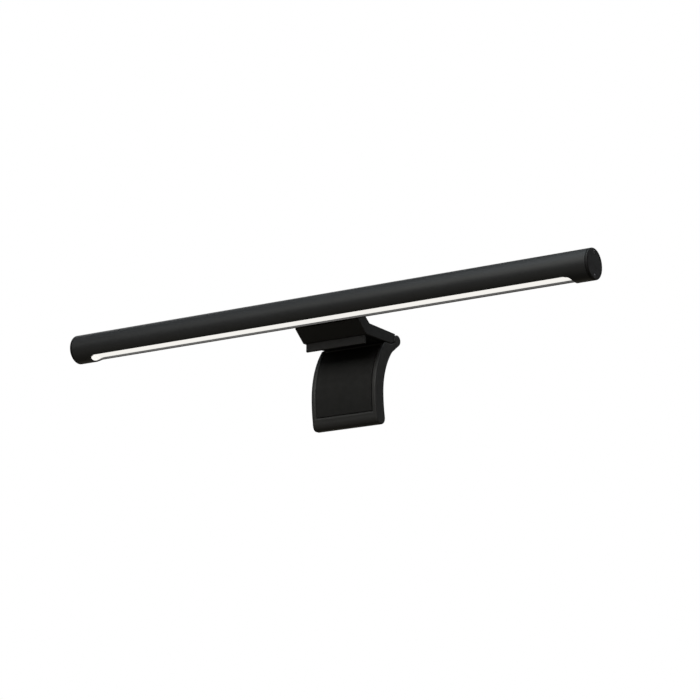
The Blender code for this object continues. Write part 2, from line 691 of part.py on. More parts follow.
def make_saddle_liner(material):
    inner = BAR_RADIUS + GAP
    outline = band(BAR_AXIS, inner, SADDLE_RADIUS - GAP, *LINER_ANGLES, 20)
    place("saddle_liner", prism([outline], -LINER_HALF, LINER_HALF), material)


def make_magnets(material):
    half_x, half_depth, half_height = MAGNET_HALF
    place_at = (0, *on_bar(MAGNET_DISTANCE, MAGNET_ANGLE))
    for name, x in (("magnet_left", -MAGNET_X), ("magnet_right", MAGNET_X)):
        low = (x - half_x, -half_depth, -half_height)
        block = box(low, (x + half_x, half_depth, half_height))
        place(name, block, material, None, place_at, (MAGNET_ANGLE, 0, 0))


def make_base_plate(material):
    top = ARM_BOTTOM + PLATE_THICKNESS
    lip_rear = LIP_FRONT + LIP_THICKNESS
    outline = [(LIP_FRONT, top), (LIP_FRONT, LIP_BOTTOM), (lip_rear, LIP_BOTTOM)]
    outline += [(lip_rear, ARM_BOTTOM), (PLATE_REAR, ARM_BOTTOM), (PLATE_REAR, top)]
    plate = place("base_plate", prism([outline], -PLATE_HALF, PLATE_HALF), material)
    bevel(plate, 0.35 * MM)
    for spot in PLATE_SCREWS:
        hole = cylinder(SHANK_HOLE, 0, top + MM, spot, "Z", COARSE)
        cut(plate, tool("plate_hole", hole))
        sink = sink_cone(PLATE_SCREW_FACE, 1, spot, "Z")
        cut(plate, tool("plate_sink", sink))


def make_plate_screws(material):
    names = ("left_front", "left_rear", "right_front", "right_rear")
    for name, (x, y) in zip(names, PLATE_SCREWS):
        spot = (x, y, PLATE_SCREW_FACE)
        flat_screw("plate_screw_" + name, PLATE_SCREW_LENGTH, material, None, spot, (180, 0, 0))


def make_pads(material):
    half_x, half_y = PAD_HALF
    rest = box((-half_x, -half_y, 0), (half_x, half_y, PAD_THICKNESS))
    place("rest_pad", rest, material)
    front = LIP_FRONT + LIP_THICKNESS + GAP
    low = (-half_x, front, LIP_BOTTOM + LIP_PAD_MARGIN)
    lip = box(low, (half_x, front + LIP_PAD_THICKNESS, -GAP))
    place("lip_pad", lip, material)


def make_hinge_bushes(material):
    """Flanged bushes that close the barrel's ends and carry the pin."""
    flange, thickness = BUSH_FLANGE
    sleeve = BARREL_BORE - GAP
    profile = [(PIN_BORE, thickness), (flange, thickness), (flange, 0), (sleeve, 0)]
    profile += [(sleeve, -BUSH_LENGTH), (PIN_BORE, -BUSH_LENGTH)]
    for side, name in ((-1, "left"), (1, "right")):
        spot = (side * (BARREL_HALF + GAP), *HINGE)
        turned("hinge_bush_" + name, profile, material, None, spot, (0, side * 90, 0), closed=True)


def make_torsion_springs(material):
    """Coils round the pin, each with a leg in the arm and a tang in the pin's slot."""
    start, end = SPRING_ENDS
    steps = 9 * SPRING_TURNS
    for side, name in ((-1, "left"), (1, "right")):
        path = [(side * start, SPRING_LEG, 0)]
        for i in range(steps + 1):
            share = i / steps
            angle = math.pi + 2 * math.pi * share * SPRING_TURNS
            y, z = SPRING_RADIUS * math.cos(angle), SPRING_RADIUS * math.sin(angle)
            path.append((side * (start + share * (end - start)), y, z))
        path.append((side * end, -0.1 * MM, 0))
        curve = bpy.data.curves.new(name, "CURVE")
        curve.dimensions = "3D"
        curve.bevel_depth = SPRING_WIRE
        curve.bevel_resolution = 1
        curve.use_fill_caps = True
        spline = curve.splines.new("POLY")
        spline.points.add(len(path) - 1)
        for point, co in zip(spline.points, path):
            point.co = (*co, 1)
        place("torsion_spring_" + name, mesh_of_curve(curve), material, None, (0, *HINGE))


# ---------------------------------------------------------------- clamp


def clamp_point(depth, angle):
    """A point at this depth behind the clamp's front face. The angle is 0 at the knee, where the
    plate is upright, positive above it and negative below it."""
    turn = math.radians(abs(angle))
    if angle >= 0:
        radius = UPPER_RADIUS - depth
        return (UPPER_CENTRE - radius * math.cos(turn), CLAMP_KNEE + radius * math.sin(turn))
    radius = LOWER_RADIUS - depth
    return (LOWER_CENTRE - radius * math.cos(turn), CLAMP_KNEE - radius * math.sin(turn))


def clamp_face(depth, high, low, steps=8):
    """The plate's curve at one depth, from the high angle down to the low one."""
    upper = [clamp_point(depth, high * (1 - i / steps)) for i in range(steps)]
    return upper + [clamp_point(depth, low * i / 4) for i in range(5)]


def clamp_band(front, rear, angles, half_width):
    """A layer of the plate between two depths."""
    outline = clamp_face(front, *angles) + clamp_face(rear, *angles)[::-1]
    return prism([outline], -half_width, half_width)


def bottom_corner(side, size, start, end):
    """The rounded corner between one side of the plate and its bottom edge."""
    across, up = size
    inwards = across if start < 270 else -across
    points = arc((0, 0), 1, start, end, 5)
    return [(side + inwards + y * across, CLAMP_BOTTOM + up + z * up) for y, z in points]


def clamp_outline():
    front = clamp_face(0, *FRONT_ANGLES, 12)
    rear = clamp_face(CLAMP_THICKNESS, *REAR_ANGLES, 16)[::-1]
    corners = bottom_corner(front[-1][0], FRONT_CORNER, 187, 270)
    corners += bottom_corner(rear[0][0], REAR_CORNER, 270, 355)
    top = [(2.4 * MM, -3.4 * MM), (0, -1.5 * MM), (-2 * MM, -1.2 * MM)]
    top += [(-4 * MM, -2.35 * MM), (-8.4 * MM, CLAMP_TOP)]
    return front + corners + rear + top


def depth_at(depth, z):
    """How far forward (y) the plate's curve at one depth lies at this height."""
    rise = z - CLAMP_KNEE
    centre, radius = (UPPER_CENTRE, UPPER_RADIUS) if rise >= 0 else (LOWER_CENTRE, LOWER_RADIUS)
    return centre - math.sqrt((radius - depth) ** 2 - rise**2)


def make_clamp_housing(parent, material):
    outline = prism([clamp_outline()], -CLAMP_HALF, CLAMP_HALF)
    housing = place("clamp_housing", outline, material, parent)
    bevel(housing, CLAMP_EDGE)
    for side in (-1, 1):
        ends = sorted((side * KNUCKLE_INNER, side * CLAMP_HALF))
        knuckle = tool("knuckle", cylinder(KNUCKLE_RADIUS, *ends), parent)
        bevel(knuckle, 0.5 * MM)
        join(housing, knuckle)
    notch = cylinder(NOTCH_RADIUS, -KNUCKLE_INNER, KNUCKLE_INNER)
    cut(housing, tool("barrel_notch", notch, parent))
    front, rear = WEB_NOTCH_ENDS
    web_notch = box((-KNUCKLE_INNER, front, CLAMP_TOP), (KNUCKLE_INNER, rear, 2 * MM))
    cut(housing, tool("web_notch", web_notch, parent))
    recess_half, recess_depth = PAD_RECESS
    recess = clamp_band(-3 * MM, recess_depth, PAD_ANGLES, recess_half)
    cut(housing, tool("pad_recess", recess, parent))
    cavity = clamp_band(FRONT_WALL_DEPTH, CLAMP_THICKNESS + 3 * MM, CAVITY_ANGLES, CAVITY_HALF)
    cut(housing, tool("weight_cavity", cavity, parent))
    low, high = PIN_ENDS
    bore = cylinder(PIN_BORE, low - 3 * MM, high + GAP, segments=COARSE)
    cut(housing, tool("pin_bore", bore, parent))
    seat = cylinder(PLUG_RADIUS + GAP, low - 3 * MM, low, segments=COARSE)
    cut(housing, tool("plug_seat", seat, parent))
    for x, z in CLAMP_SCREWS:
        floor = depth_at(recess_depth, z)
        hole = cylinder(SHANK_HOLE, floor - 2 * MM, floor + 4 * MM, (x, z), "Y", COARSE)
        cut(housing, tool("wall_hole", hole, parent))
        sink = sink_cone(floor + CLAMP_SCREW_DEPTH, 1, (x, z), "Y")
        cut(housing, tool("wall_sink", sink, parent))


def make_counterweight(parent, material):
    angles = (CAVITY_ANGLES[0] - 0.5, CAVITY_ANGLES[1] + 0.3)
    front, rear = FRONT_WALL_DEPTH + GAP, COVER_DEPTH - GAP
    block = clamp_band(front, rear, angles, CAVITY_HALF - GAP)
    weight = place("counterweight", block, material, parent)
    for x, z in CLAMP_SCREWS:
        middle = depth_at(CLAMP_THICKNESS / 2, z)
        ends = (middle - CLAMP_THICKNESS / 2, middle + CLAMP_THICKNESS / 2)
        hole = cylinder(WEIGHT_HOLE, *ends, (x, z), "Y", COARSE)
        cut(weight, tool("weight_hole", hole, parent))


def make_back_cover(parent, material):
    angles = (CAVITY_ANGLES[0] - 0.4, CAVITY_ANGLES[1] + 0.2)
    sheet = clamp_band(COVER_DEPTH, CLAMP_THICKNESS, angles, CAVITY_HALF - GAP)
    cover = place("clamp_back_cover", sheet, material, parent)
    radius, length = COVER_POST
    for x, z in CLAMP_SCREWS:
        inner = depth_at(COVER_DEPTH, z)
        post = cylinder(radius, inner - length, inner + 0.8 * MM, (x, z), "Y", COARSE)
        join(cover, tool("cover_post", post, parent))
        hole = cylinder(SHANK_HOLE, inner - length - MM, inner - GAP, (x, z), "Y", COARSE)
        cut(cover, tool("cover_hole", hole, parent))


def make_clamp_pad(parent, material):
    angles = (PAD_ANGLES[0] - 0.4, PAD_ANGLES[1] + 0.2)
    recess_half, recess_depth = PAD_RECESS
    pad = clamp_band(PAD_FACE_DEPTH, recess_depth - GAP, angles, recess_half - GAP)
    place("clamp_pad", pad, material, parent)


def make_clamp_screws(parent, material):
    names = ("left_top", "left_bottom", "right_top", "right_bottom")
    for name, (x, z) in zip(names, CLAMP_SCREWS):
        spot = (x, depth_at(PAD_RECESS[1], z) + CLAMP_SCREW_DEPTH, z)
        flat_screw("clamp_screw_" + name, CLAMP_SCREW_LENGTH, material, parent, spot, (90, 0, 0))


def make_hinge_pin(parent, material):
    pin = place("hinge_pin", cylinder(PIN_RADIUS, *PIN_ENDS, segments=COARSE), material, parent)
    for side in (-1, 1):
        middle = side * SPRING_ENDS[1]
        low = (middle - SPRING_SLOT_HALF, -PIN_RADIUS - 0.5 * MM, -SPRING_SLOT_HALF)
        high = (middle + SPRING_SLOT_HALF, 0.6 * MM, SPRING_SLOT_HALF)
        cut(pin, tool("tang_slot", box(low, high), parent))


def make_pin_plug(parent, material):
    ends = (-CLAMP_HALF + 0.05 * MM, PIN_ENDS[0] - GAP)
    place("pin_plug", cylinder(PLUG_RADIUS, *ends, segments=COARSE), material, parent)


# ---------------------------------------------------------------- assembly


def make_light_bar():
    black = make_material("bar_black_anodised", (0.018, 0.018, 0.020), 0.42, 0.6)
    cap_black = make_material("cap_black_plastic", (0.020, 0.020, 0.021), 0.5)
    frost = make_material("diffuser_frosted", (0.92, 0.91, 0.88), 0.55)
    white = make_material("reflector_white", (0.9, 0.9, 0.9), 0.35)
    aluminium = make_material("rail_aluminium", (0.6, 0.61, 0.62), 0.4, 1.0)
    board_white = make_material("led_board_white", (0.85, 0.85, 0.82), 0.45)
    green = make_material("control_board_green", (0.02, 0.12, 0.05), 0.4)
    film = make_material("insulating_film", (0.75, 0.68, 0.4), 0.3)
    chip_black = make_material("chip_black", (0.015, 0.015, 0.015), 0.5)
    tin = make_material("component_tin", (0.55, 0.55, 0.56), 0.35, 1.0)
    ferrite = make_material("inductor_grey", (0.12, 0.12, 0.12), 0.7)
    screw_black = make_material("screw_black", (0.03, 0.03, 0.032), 0.35, 0.9)
    lead_red = make_material("lead_insulation", (0.35, 0.02, 0.02), 0.5)
    steel = make_material("keeper_steel", (0.4, 0.4, 0.41), 0.35, 1.0)
    axis = make_empty("bar_axis", BAR_AXIS)
    make_bar_tube(axis, black)
    make_diffuser(axis, frost)
    make_reflectors(axis, white)
    make_led_rail(axis, aluminium)
    make_led_board(axis, board_white)
    make_control_board(axis, green, film)
    make_board_components(axis, chip_black, tin, ferrite)
    make_board_screws(axis, screw_black)
    make_usb_socket(axis, tin, cap_black)
    make_led_leads(axis, lead_red)
    make_keeper_plate(axis, steel)
    make_end_cap(axis, -1, "left", cap_black)
    make_end_cap(axis, 1, "right", cap_black)
    make_cap_screws(axis, screw_black)


def make_bracket():
    plastic = make_material("bracket_black_plastic", (0.017, 0.017, 0.018), 0.6)
    rubber = make_material("black_rubber", (0.012, 0.012, 0.012), 0.85)
    plate_black = make_material("plate_black_steel", (0.02, 0.02, 0.021), 0.5, 0.7)
    nickel = make_material("magnet_nickel", (0.62, 0.61, 0.58), 0.25, 1.0)
    zinc = make_material("screw_zinc", (0.5, 0.5, 0.52), 0.35, 1.0)
    acetal = make_material("bush_acetal", (0.75, 0.74, 0.70), 0.4)
    spring_steel = make_material("spring_steel", (0.45, 0.44, 0.42), 0.3, 1.0)
    make_bracket_shell(plastic)
    make_saddle_liner(rubber)
    make_magnets(nickel)
    make_base_plate(plate_black)
    make_plate_screws(zinc)
    make_pads(rubber)
    make_hinge_bushes(acetal)
    make_torsion_springs(spring_steel)


def make_rear_clamp():
    plastic = make_material("clamp_black_plastic", (0.018, 0.018, 0.019), 0.6)
    cover_plastic = make_material("cover_black_plastic", (0.016, 0.016, 0.017), 0.65)
    silicone = make_material("pad_black_silicone", (0.011, 0.011, 0.011), 0.75)
    iron = make_material("counterweight_iron", (0.22, 0.22, 0.23), 0.55, 0.9)
    zinc = make_material("clamp_screw_zinc", (0.5, 0.5, 0.52), 0.35, 1.0)
    pin_steel = make_material("pin_steel", (0.55, 0.55, 0.56), 0.25, 1.0)
    axis = make_empty("clamp_hinge", HINGE)
    make_clamp_housing(axis, plastic)
    make_counterweight(axis, iron)
    make_back_cover(axis, cover_plastic)
    make_clamp_pad(axis, silicone)
    make_clamp_screws(axis, zinc)
    make_hinge_pin(axis, pin_steel)
    make_pin_plug(axis, plastic)


clear_scene()
PARTS = make_collection("monitor_light_bar", True)
CUTTERS = make_collection("cutters", False)
make_light_bar()
make_bracket()
make_rear_clamp()
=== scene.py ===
"""Looks of a monitor light bar: fine visible shells, finishes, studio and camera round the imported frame.

Lengths are millimetres until a mesh becomes a piece, which is where they turn into metres.
Sections of the light bar are (y, z) from the bar's axis, and those of the clamp are (y, z) from
the hinge's axis. The bracket's are (y, z) in the part's own frame.
"""

import json
import math

import bmesh
import bpy
from mathutils import Matrix, Vector


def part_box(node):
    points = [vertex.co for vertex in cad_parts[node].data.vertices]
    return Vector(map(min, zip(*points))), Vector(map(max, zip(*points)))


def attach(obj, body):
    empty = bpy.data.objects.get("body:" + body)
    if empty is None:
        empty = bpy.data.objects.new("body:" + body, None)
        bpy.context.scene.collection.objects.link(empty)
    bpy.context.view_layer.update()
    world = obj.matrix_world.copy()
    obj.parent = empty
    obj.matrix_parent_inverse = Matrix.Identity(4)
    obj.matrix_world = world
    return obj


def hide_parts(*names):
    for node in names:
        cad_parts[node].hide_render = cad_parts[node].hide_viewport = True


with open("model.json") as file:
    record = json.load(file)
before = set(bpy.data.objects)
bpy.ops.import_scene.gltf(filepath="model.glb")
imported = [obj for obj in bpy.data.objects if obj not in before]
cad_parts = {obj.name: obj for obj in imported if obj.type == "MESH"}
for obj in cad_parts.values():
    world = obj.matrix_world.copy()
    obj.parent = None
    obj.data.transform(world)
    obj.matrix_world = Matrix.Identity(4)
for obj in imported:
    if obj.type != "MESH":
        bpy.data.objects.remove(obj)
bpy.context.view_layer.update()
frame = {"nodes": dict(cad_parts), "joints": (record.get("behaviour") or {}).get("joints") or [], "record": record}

MM = 0.001
JOINTS = {joint["name"]: joint for joint in frame["joints"]}


def axis_of(joint):
    return tuple(value / MM for value in JOINTS[joint]["pos_m"][1:])


def corners_of(node):
    """Lowest and highest corner of a CAD node, in millimetres."""
    return [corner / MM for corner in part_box(node)]


# The room left between two pieces.
GAP = 0.3
# How far a cutter runs past the face that it cuts, flat or curved.
OVERRUN = 1
CURVED_OVERRUN = 3
# Sides of a round shape, by how large it shows.
SEGMENTS_FINE = 180
SEGMENTS_MEDIUM = 64
SEGMENTS_COARSE = 32

# Bar tube. Tilts are in degrees about X, and depths (y) and heights (z) are from the bar's axis.
BAR_AXIS = axis_of("bar_tilt")
TUBE_LOW, TUBE_HIGH = corners_of("bar_tube")
TUBE_HALF = TUBE_HIGH.x
BAR_RADIUS = (TUBE_HIGH.z - TUBE_LOW.z) / 2
BAR_HALF = corners_of("end_cap_right")[1].x
BAR_WALL = 1.1
BORE_RADIUS = BAR_RADIUS - BAR_WALL
INNER_RADIUS = BORE_RADIUS - GAP
BOSS_RADIUS = 2.0
BOSS_START = 212.5
BOSS_INSET = 0.2
WINDOW_HEIGHT = -8.3
WINDOW_TILT = -1.7
WINDOW_FLAT_HALF = 206
WINDOW_FLOOR = -BAR_RADIUS - 3
SCOOP_RADIUS = 5
REBATE_REAR = -4.5
REBATE_HEIGHTS = (-6.6, -9.2)
REBATE_END_TOP = -8.25
TAPER = 3.5
PORT_DEPTHS = (7, 13)

# Diffuser. Its lower face is the window's outline, tilted and raised.
DIFFUSER_TOP = -5.2
DIFFUSER_HALF = 211.7
DIFFUSER_TILT = 6
DIFFUSER_RISE = 1.05
LENS_GAP = 0.06
NOSE_FRONT = INNER_RADIUS - 0.5
NOSE_REAR = -5
NOSE_HEIGHTS = (-8.7, -6.9)
NOSE_END_TOP = -8.3
NOSE_SHORTER = 4 * LENS_GAP

# End caps.
CAP_THICKNESS = 1.9
CAP_RIM = 1.15
CAP_RECESS = 0.25
CAP_EDGE = 1.0
CAP_SEAM = 0.15
RIM_FOOT = 0.1
RIM_EDGE = 0.08
CAP_TONGUE_RADIUS = 8.4
CAP_TONGUE_HALF = 5.5
CAP_TONGUE_START = BAR_HALF - 8
CAP_TONGUE_EDGE = 0.2
PAST_BAR = 12
CAP_SCREW_RING = 8.5
CAP_SCREW_FACE = BAR_HALF - CAP_RECESS - 0.05
CAP_SCREW_LENGTH = 9
# Height of each screw, and how far its socket is turned in degrees.
CAP_SCREWS = {"bottom": (-CAP_SCREW_RING, 20), "top": (CAP_SCREW_RING, 55)}

# Every screw. The tip is (length, radius), and the drive is the socket in its head.
SHANK_RADIUS = 0.85
SHANK_HOLE = SHANK_RADIUS + GAP
HEAD_RADIUS = 1.55
HEAD_ROOM = 0.3
HEAD_CROWN = 0.08
HEAD_LAND = 0.2
SCREW_TIP = (0.5, 0.3)
DRIVE_RADIUS = 0.85
DRIVE_DEPTH = 0.8

# USB-C inlet. Sizes are (width, height) and depths run from the bar's axis to the rear.
USB_SPOT = (-46, 0.2)
PORT_HOLE = (12.4, 6.2)
SURROUND = (12.0, 5.8)
SURROUND_HOLE = (9.5, 3.7)
SURROUND_DEPTHS = (9.2, 11.1)
SURROUND_EDGE = 0.15
SOCKET = (9.0, 3.2)
SOCKET_MOUTH = (8.34, 2.56)
SOCKET_DEPTHS = (4.3, 10.75)
SOCKET_EDGE = 0.1
MOUTH_DEPTHS = (5.5, 12)
CONTACTS_HALF = (3.3, 0.35)
CONTACTS_DEPTHS = (5, 10.2)
CONTACTS_CORNER = 0.6
CONTACTS_EDGE = 0.08

# Bracket. Corners are (y, z, radius), and angles are in degrees.
BRACKET_HALF = corners_of("bracket_shell")[1].x
BRACKET_EDGE = 0.55
SADDLE_RADIUS = 12.4
SADDLE_BACK = 15.2
SADDLE_ANGLES = (40, -43.2)
SADDLE_TIP = 0.7
NECK_START = -4
CORNER_ROOM = 4
LINER_ANGLES = (39.5, -42.5)
LINER_HALF = corners_of("saddle_liner")[1].x
LINER_EDGE = 0.12
LINER_BACK = SADDLE_RADIUS - 0.1
ARM_BOTTOM = 1.1
ARM_TOP_FRONT = (-8.6, 10.3, 1.2)
ARM_TOP_REAR = (26.3, 9.5, 0.6)
NECK_FRONT = (-13.45, ARM_BOTTOM, 0.6)
BARREL_FRONT = (20.5, ARM_BOTTOM, 1.0)
BARREL_CLEARANCE = 0.5
BARREL_ARC = (205, 126)
# Lowest and highest corner of the hollow in the arm.
HOLLOW = ((-25, -9.5, 2), (25, 18, 8))

# Magnets. The pocket's size is half its width, its depth behind the magnet and half its height.
MAGNET_X = 13
MAGNET_POCKET = (7.0, 1.8, 3.8)
MAGNET_POCKET_MOUTH = 4
MAGNET_TURN = -24
MAGNET_DISTANCE = 14.25

# Base plate and pads. A groove is (half width, corner radius).
PLATE_LOW, PLATE_HIGH = corners_of("base_plate")
PLATE_ROOM = 0.15
PLATE_EDGE = 0.35
PLATE_CORNER = 0.4
LIP_THICKNESS = 2.0
LIP_CORNER = 0.5
LIP_BEND = 0.3
PLATE_SCREWS = [(x, y) for x in (-18, 18) for y in (-5.5, 6)]
PLATE_SCREW_FACE = ARM_BOTTOM + 0.05
PLATE_POST = 2.4
PLATE_POST_HEIGHTS = (3.2, 8.5)
PLATE_HOLE_HEIGHTS = (2.8, 8)
PAD_EDGE = 0.2
GROOVE_INSET = 1.6
REST_PAD_CORNER = 1.5
REST_GROOVE = (0.3, 0.25)
REST_GROOVE_DEPTH = 0.3
REST_GROOVE_PLACES = [2.2 * index for index in range(-3, 4)]
LIP_PAD_CORNER = 0.8
LIP_GROOVE = (0.25, 0.2)
LIP_GROOVE_DEPTH = 0.25
LIP_GROOVE_SHARES = (0.3, 0.5, 0.7)

# Hinge.
HINGE = axis_of("clamp_swing")
KNUCKLE_RADIUS = 4.2
KNUCKLE_INNER = 19.2
KNUCKLE_ANGLES = (-55, 209)
KNUCKLE_ROOM = 0.7
BARREL_HALF = 18
BARREL_EDGE = 0.4
BARREL_BORE = 3.3
BARREL_BORE_HALF = 20
WEB_TOP = 9.1
WEB_FRONT = 17
WEB_REAR = ((24.5, ARM_BOTTOM), (25, WEB_TOP))
WEB_NOTCH_FRONT = -9
WEB_NOTCH_REAR = 6
# Radius and thickness of a bush's flange, its outer and inner edge, and its sleeve's radius and length.
BUSH_FLANGE = (3.9, 0.6)
BUSH_EDGE = (0.15, 0.05)
BUSH_SLEEVE = (BARREL_BORE - 0.1, 3.2)
PIN_LOW, PIN_HIGH = corners_of("hinge_pin")
PIN_BORE = 1.8
PIN_SEAT = 2.7
PIN_BORE_START = PIN_LOW.x - 3

# Clamp plate. Angles are in degrees from the knee, where the plate is upright, up and then down.
CLAMP_HALF = corners_of("clamp_housing")[1].x
CLAMP_THICKNESS = 11.6
CLAMP_KNEE = -42.5
UPPER_CENTRE = 28.9
UPPER_RADIUS = 60
LOWER_CENTRE = 72.9
LOWER_RADIUS = 104
CLAMP_TOP = -4.05
CLAMP_TOP_FRONT = (-8.4, CLAMP_TOP, 1.5)
CLAMP_BOTTOM = -67.2
FRONT_ANGLES = (39.6, -10.3)
FRONT_CORNER = (4, 6)
FRONT_CORNER_START = 187
FRONT_TOP_CORNER = 1.2
REAR_ANGLES = (41.5, -11.8)
REAR_CORNER = (5.2, 5.2)
REAR_CORNER_END = 355
CLAMP_EDGE = 1.1
RECESS_HALF = 24.3
RECESS_DEPTH = 1.9
RECESS_ANGLES = (38, -8.65)
BEAD_EDGE = 1.6
WALL_DEPTH = 3.4
CAVITY_HALF = 26
CAVITY_ANGLES = (35, -10.9)
CAVITY_EDGE = 0.3
COVER_DEPTH = 10.1
COVER_EDGE = 0.3
COVER_POST = 2.3
COVER_POST_REACH = (4.5, 0.8)
COVER_HOLE_REACH = (6, 0.3)
# How much smaller a piece is than its seat: in half width, and in degrees above and below.
COVER_SMALLER = (0.2, 0.22, 0.12)
PAD_SMALLER = (0.15, 0.2, 0.1)
PAD_FACE = 0.5
CLAMP_PAD_EDGE = 0.35
PAD_REAR = RECESS_DEPTH - 0.1
CLAMP_SCREWS = [(x, z) for x in (-19, 19) for z in (-30, -56)]
CLAMP_HOLE_LENGTH = 4
PLUG_INSET = 0.05
PLUG_PROFILE = [(0.35, 1.2), (0.05, 1.5), (0, 2.3), (0.15, 2.55), (1.1, 2.55)]
# Steps along the plate's curve and round its edges, and the turns of a small edge in radians.
STATIONS = 48
FLARE_STEPS = 6
EDGE_TURNS = (0, 0.4, 0.8, 1.2, math.pi / 2)


# ---------------------------------------------------------------- outlines


def arc(centre, radius, start, end, steps):
    """Points of an arc, from one angle to the other in degrees, with both ends."""
    angles = [math.radians(start + (end - start) * i / steps) for i in range(steps + 1)]
    return [(centre[0] + radius * math.cos(a), centre[1] + radius * math.sin(a)) for a in angles]


def circle(centre, radius, segments):
    return arc(centre, radius, 0, 360, segments)[:-1]


def stadium(centre, size, steps=20):
    radius = size[1] / 2
    reach = size[0] / 2 - radius
    right = arc((centre[0] + reach, centre[1]), radius, -90, 90, steps)
    return right + arc((centre[0] - reach, centre[1]), radius, 90, 270, steps)


def band(centre, inner, outer, start, end, steps):
    """A stretch of a ring."""
    return arc(centre, outer, start, end, steps) + arc(centre, inner, end, start, steps)


def rounded(corners, steps=6):
    """An outline whose corners, given as (u, v, radius), are rounded off."""
    outline = []
    for index, (u, v, radius) in enumerate(corners):
        if not radius:
            outline.append((u, v))
            continue
        here = Vector((u, v))
        before = (Vector(corners[index - 1][:2]) - here).normalized()
        after = (Vector(corners[(index + 1) % len(corners)][:2]) - here).normalized()
        half = before.angle(after) / 2
        centre = here + (before + after).normalized() * radius / math.sin(half)
        start = here + before * radius / math.tan(half) - centre
        end = here + after * radius / math.tan(half) - centre
        for step in range(steps + 1):
            share = step / steps
            towards = start.lerp(end, share).normalized()
            outline.append(tuple(centre + towards * radius))
    return outline


def plain(points):
    """Points of an outline as corners that stay sharp."""
    return [(u, v, 0) for u, v in points]


# ---------------------------------------------------------------- meshes

# Vertices nearer than this are one, in a drawn outline and in a finished shape.
OUTLINE_WELD = 1e-3
SHAPE_WELD = 1e-4


def face_outwards(shell):
    """Turns every face of a closed shape outwards, also where the shape bends round a hollow."""
    bmesh.ops.recalc_face_normals(shell, faces=shell.faces)
    if shell.calc_volume(signed=True) < 0:
        bmesh.ops.reverse_faces(shell, faces=shell.faces)


def new_mesh(shell):
    face_outwards(shell)
    mesh = bpy.data.meshes.new("shape")
    shell.to_mesh(mesh)
    shell.free()
    return mesh


def evaluated_mesh(holder):
    graph = bpy.context.evaluated_depsgraph_get()
    return bpy.data.meshes.new_from_object(holder.evaluated_get(graph))


def prism(outlines, low, high, edge=0.0, along="X"):
    """A flat outline drawn out along an axis, with rounded end edges. Further outlines are holes.

    The outline holds (y, z) along X, (x, z) along Y and (x, y) along Z."""
    curve = bpy.data.curves.new("outline", "CURVE")
    curve.dimensions = "2D"
    curve.fill_mode = "BOTH"
    curve.extrude = (high - low) / 2 - edge
    curve.bevel_depth = edge
    curve.bevel_resolution = 3
    curve.offset = -edge
    for outline in outlines:
        spline = curve.splines.new("POLY")
        spline.points.add(len(outline) - 1)
        for point, (u, v) in zip(spline.points, outline):
            point.co = (u, v, 0, 1)
        spline.use_cyclic_u = True
    holder = bpy.data.objects.new("outline", curve)
    bpy.context.scene.collection.objects.link(holder)
    mesh = evaluated_mesh(holder)
    bpy.data.objects.remove(holder, do_unlink=True)
    bpy.data.curves.remove(curve)
    shell = bmesh.new()
    shell.from_mesh(mesh)
    bpy.data.meshes.remove(mesh)
    bmesh.ops.remove_doubles(shell, verts=shell.verts, dist=OUTLINE_WELD)
    middle = (low + high) / 2
    turns = {
        "X": Matrix(((0, 0, 1, middle), (1, 0, 0, 0), (0, 1, 0, 0), (0, 0, 0, 1))),
        "Y": Matrix(((1, 0, 0, 0), (0, 0, -1, middle), (0, 1, 0, 0), (0, 0, 0, 1))),
        "Z": Matrix.Translation((0, 0, middle)),
    }
    shell.transform(turns[along])
    return new_mesh(shell)


def turned(profile, segments=SEGMENTS_MEDIUM, closed=False):
    """A profile of (x, radius) turned about the X axis. Open ends become flat faces."""
    shell = bmesh.new()
    rings = []
    for x, radius in profile:
        turns = [2 * math.pi * i / segments for i in range(segments if radius else 1)]
        rings.append([shell.verts.new((x, radius * math.cos(a), radius * math.sin(a))) for a in turns])
    following = rings[1:] + (rings[:1] if closed else [])
    for ring, after in zip(rings, following):
        for i in range(segments):
            j = (i + 1) % segments
            four = [ring[i % len(ring)], ring[j % len(ring)], after[j % len(after)], after[i % len(after)]]
            shell.faces.new(list(dict.fromkeys(four)))
    if not closed:
        for ring in (rings[0], rings[-1]):
            if len(ring) > 1:
                shell.faces.new(ring)
    return new_mesh(shell)


def placed(mesh, centre, along):
    """A mesh built along X, turned to run along an axis through this centre."""
    u, v = centre
    turns = {
        "X": Matrix(((1, 0, 0, 0), (0, 1, 0, u), (0, 0, 1, v), (0, 0, 0, 1))),
        "Y": Matrix(((0, 1, 0, u), (1, 0, 0, 0), (0, 0, -1, v), (0, 0, 0, 1))),
        "Z": Matrix(((0, 1, 0, u), (0, 0, 1, v), (1, 0, 0, 0), (0, 0, 0, 1))),
    }
    return moved(mesh, turns[along])


def cylinder(radius, low, high, centre=(0, 0), along="X"):
    return placed(turned([(low, radius), (high, radius)], SEGMENTS_COARSE), centre, along)


def countersink(face, end, inwards, centre, along):
    """A cutter for a screw hole whose countersink leaves the screw's head level with the face."""
    widest = HEAD_RADIUS + HEAD_ROOM
    bottom = face + inwards * (widest - SHANK_HOLE)
    profile = [(face - inwards * OVERRUN, widest + OVERRUN), (bottom, SHANK_HOLE), (end, SHANK_HOLE)]
    return placed(turned(profile, SEGMENTS_COARSE), centre, along)


def box(low, high):
    shell = bmesh.new()
    middle = [(a + b) / 2 for a, b in zip(low, high)]
    side = [b - a for a, b in zip(low, high)]
    matrix = Matrix.Translation(middle) @ Matrix.Diagonal((*side, 1))
    bmesh.ops.create_cube(shell, size=1, matrix=matrix)
    return new_mesh(shell)


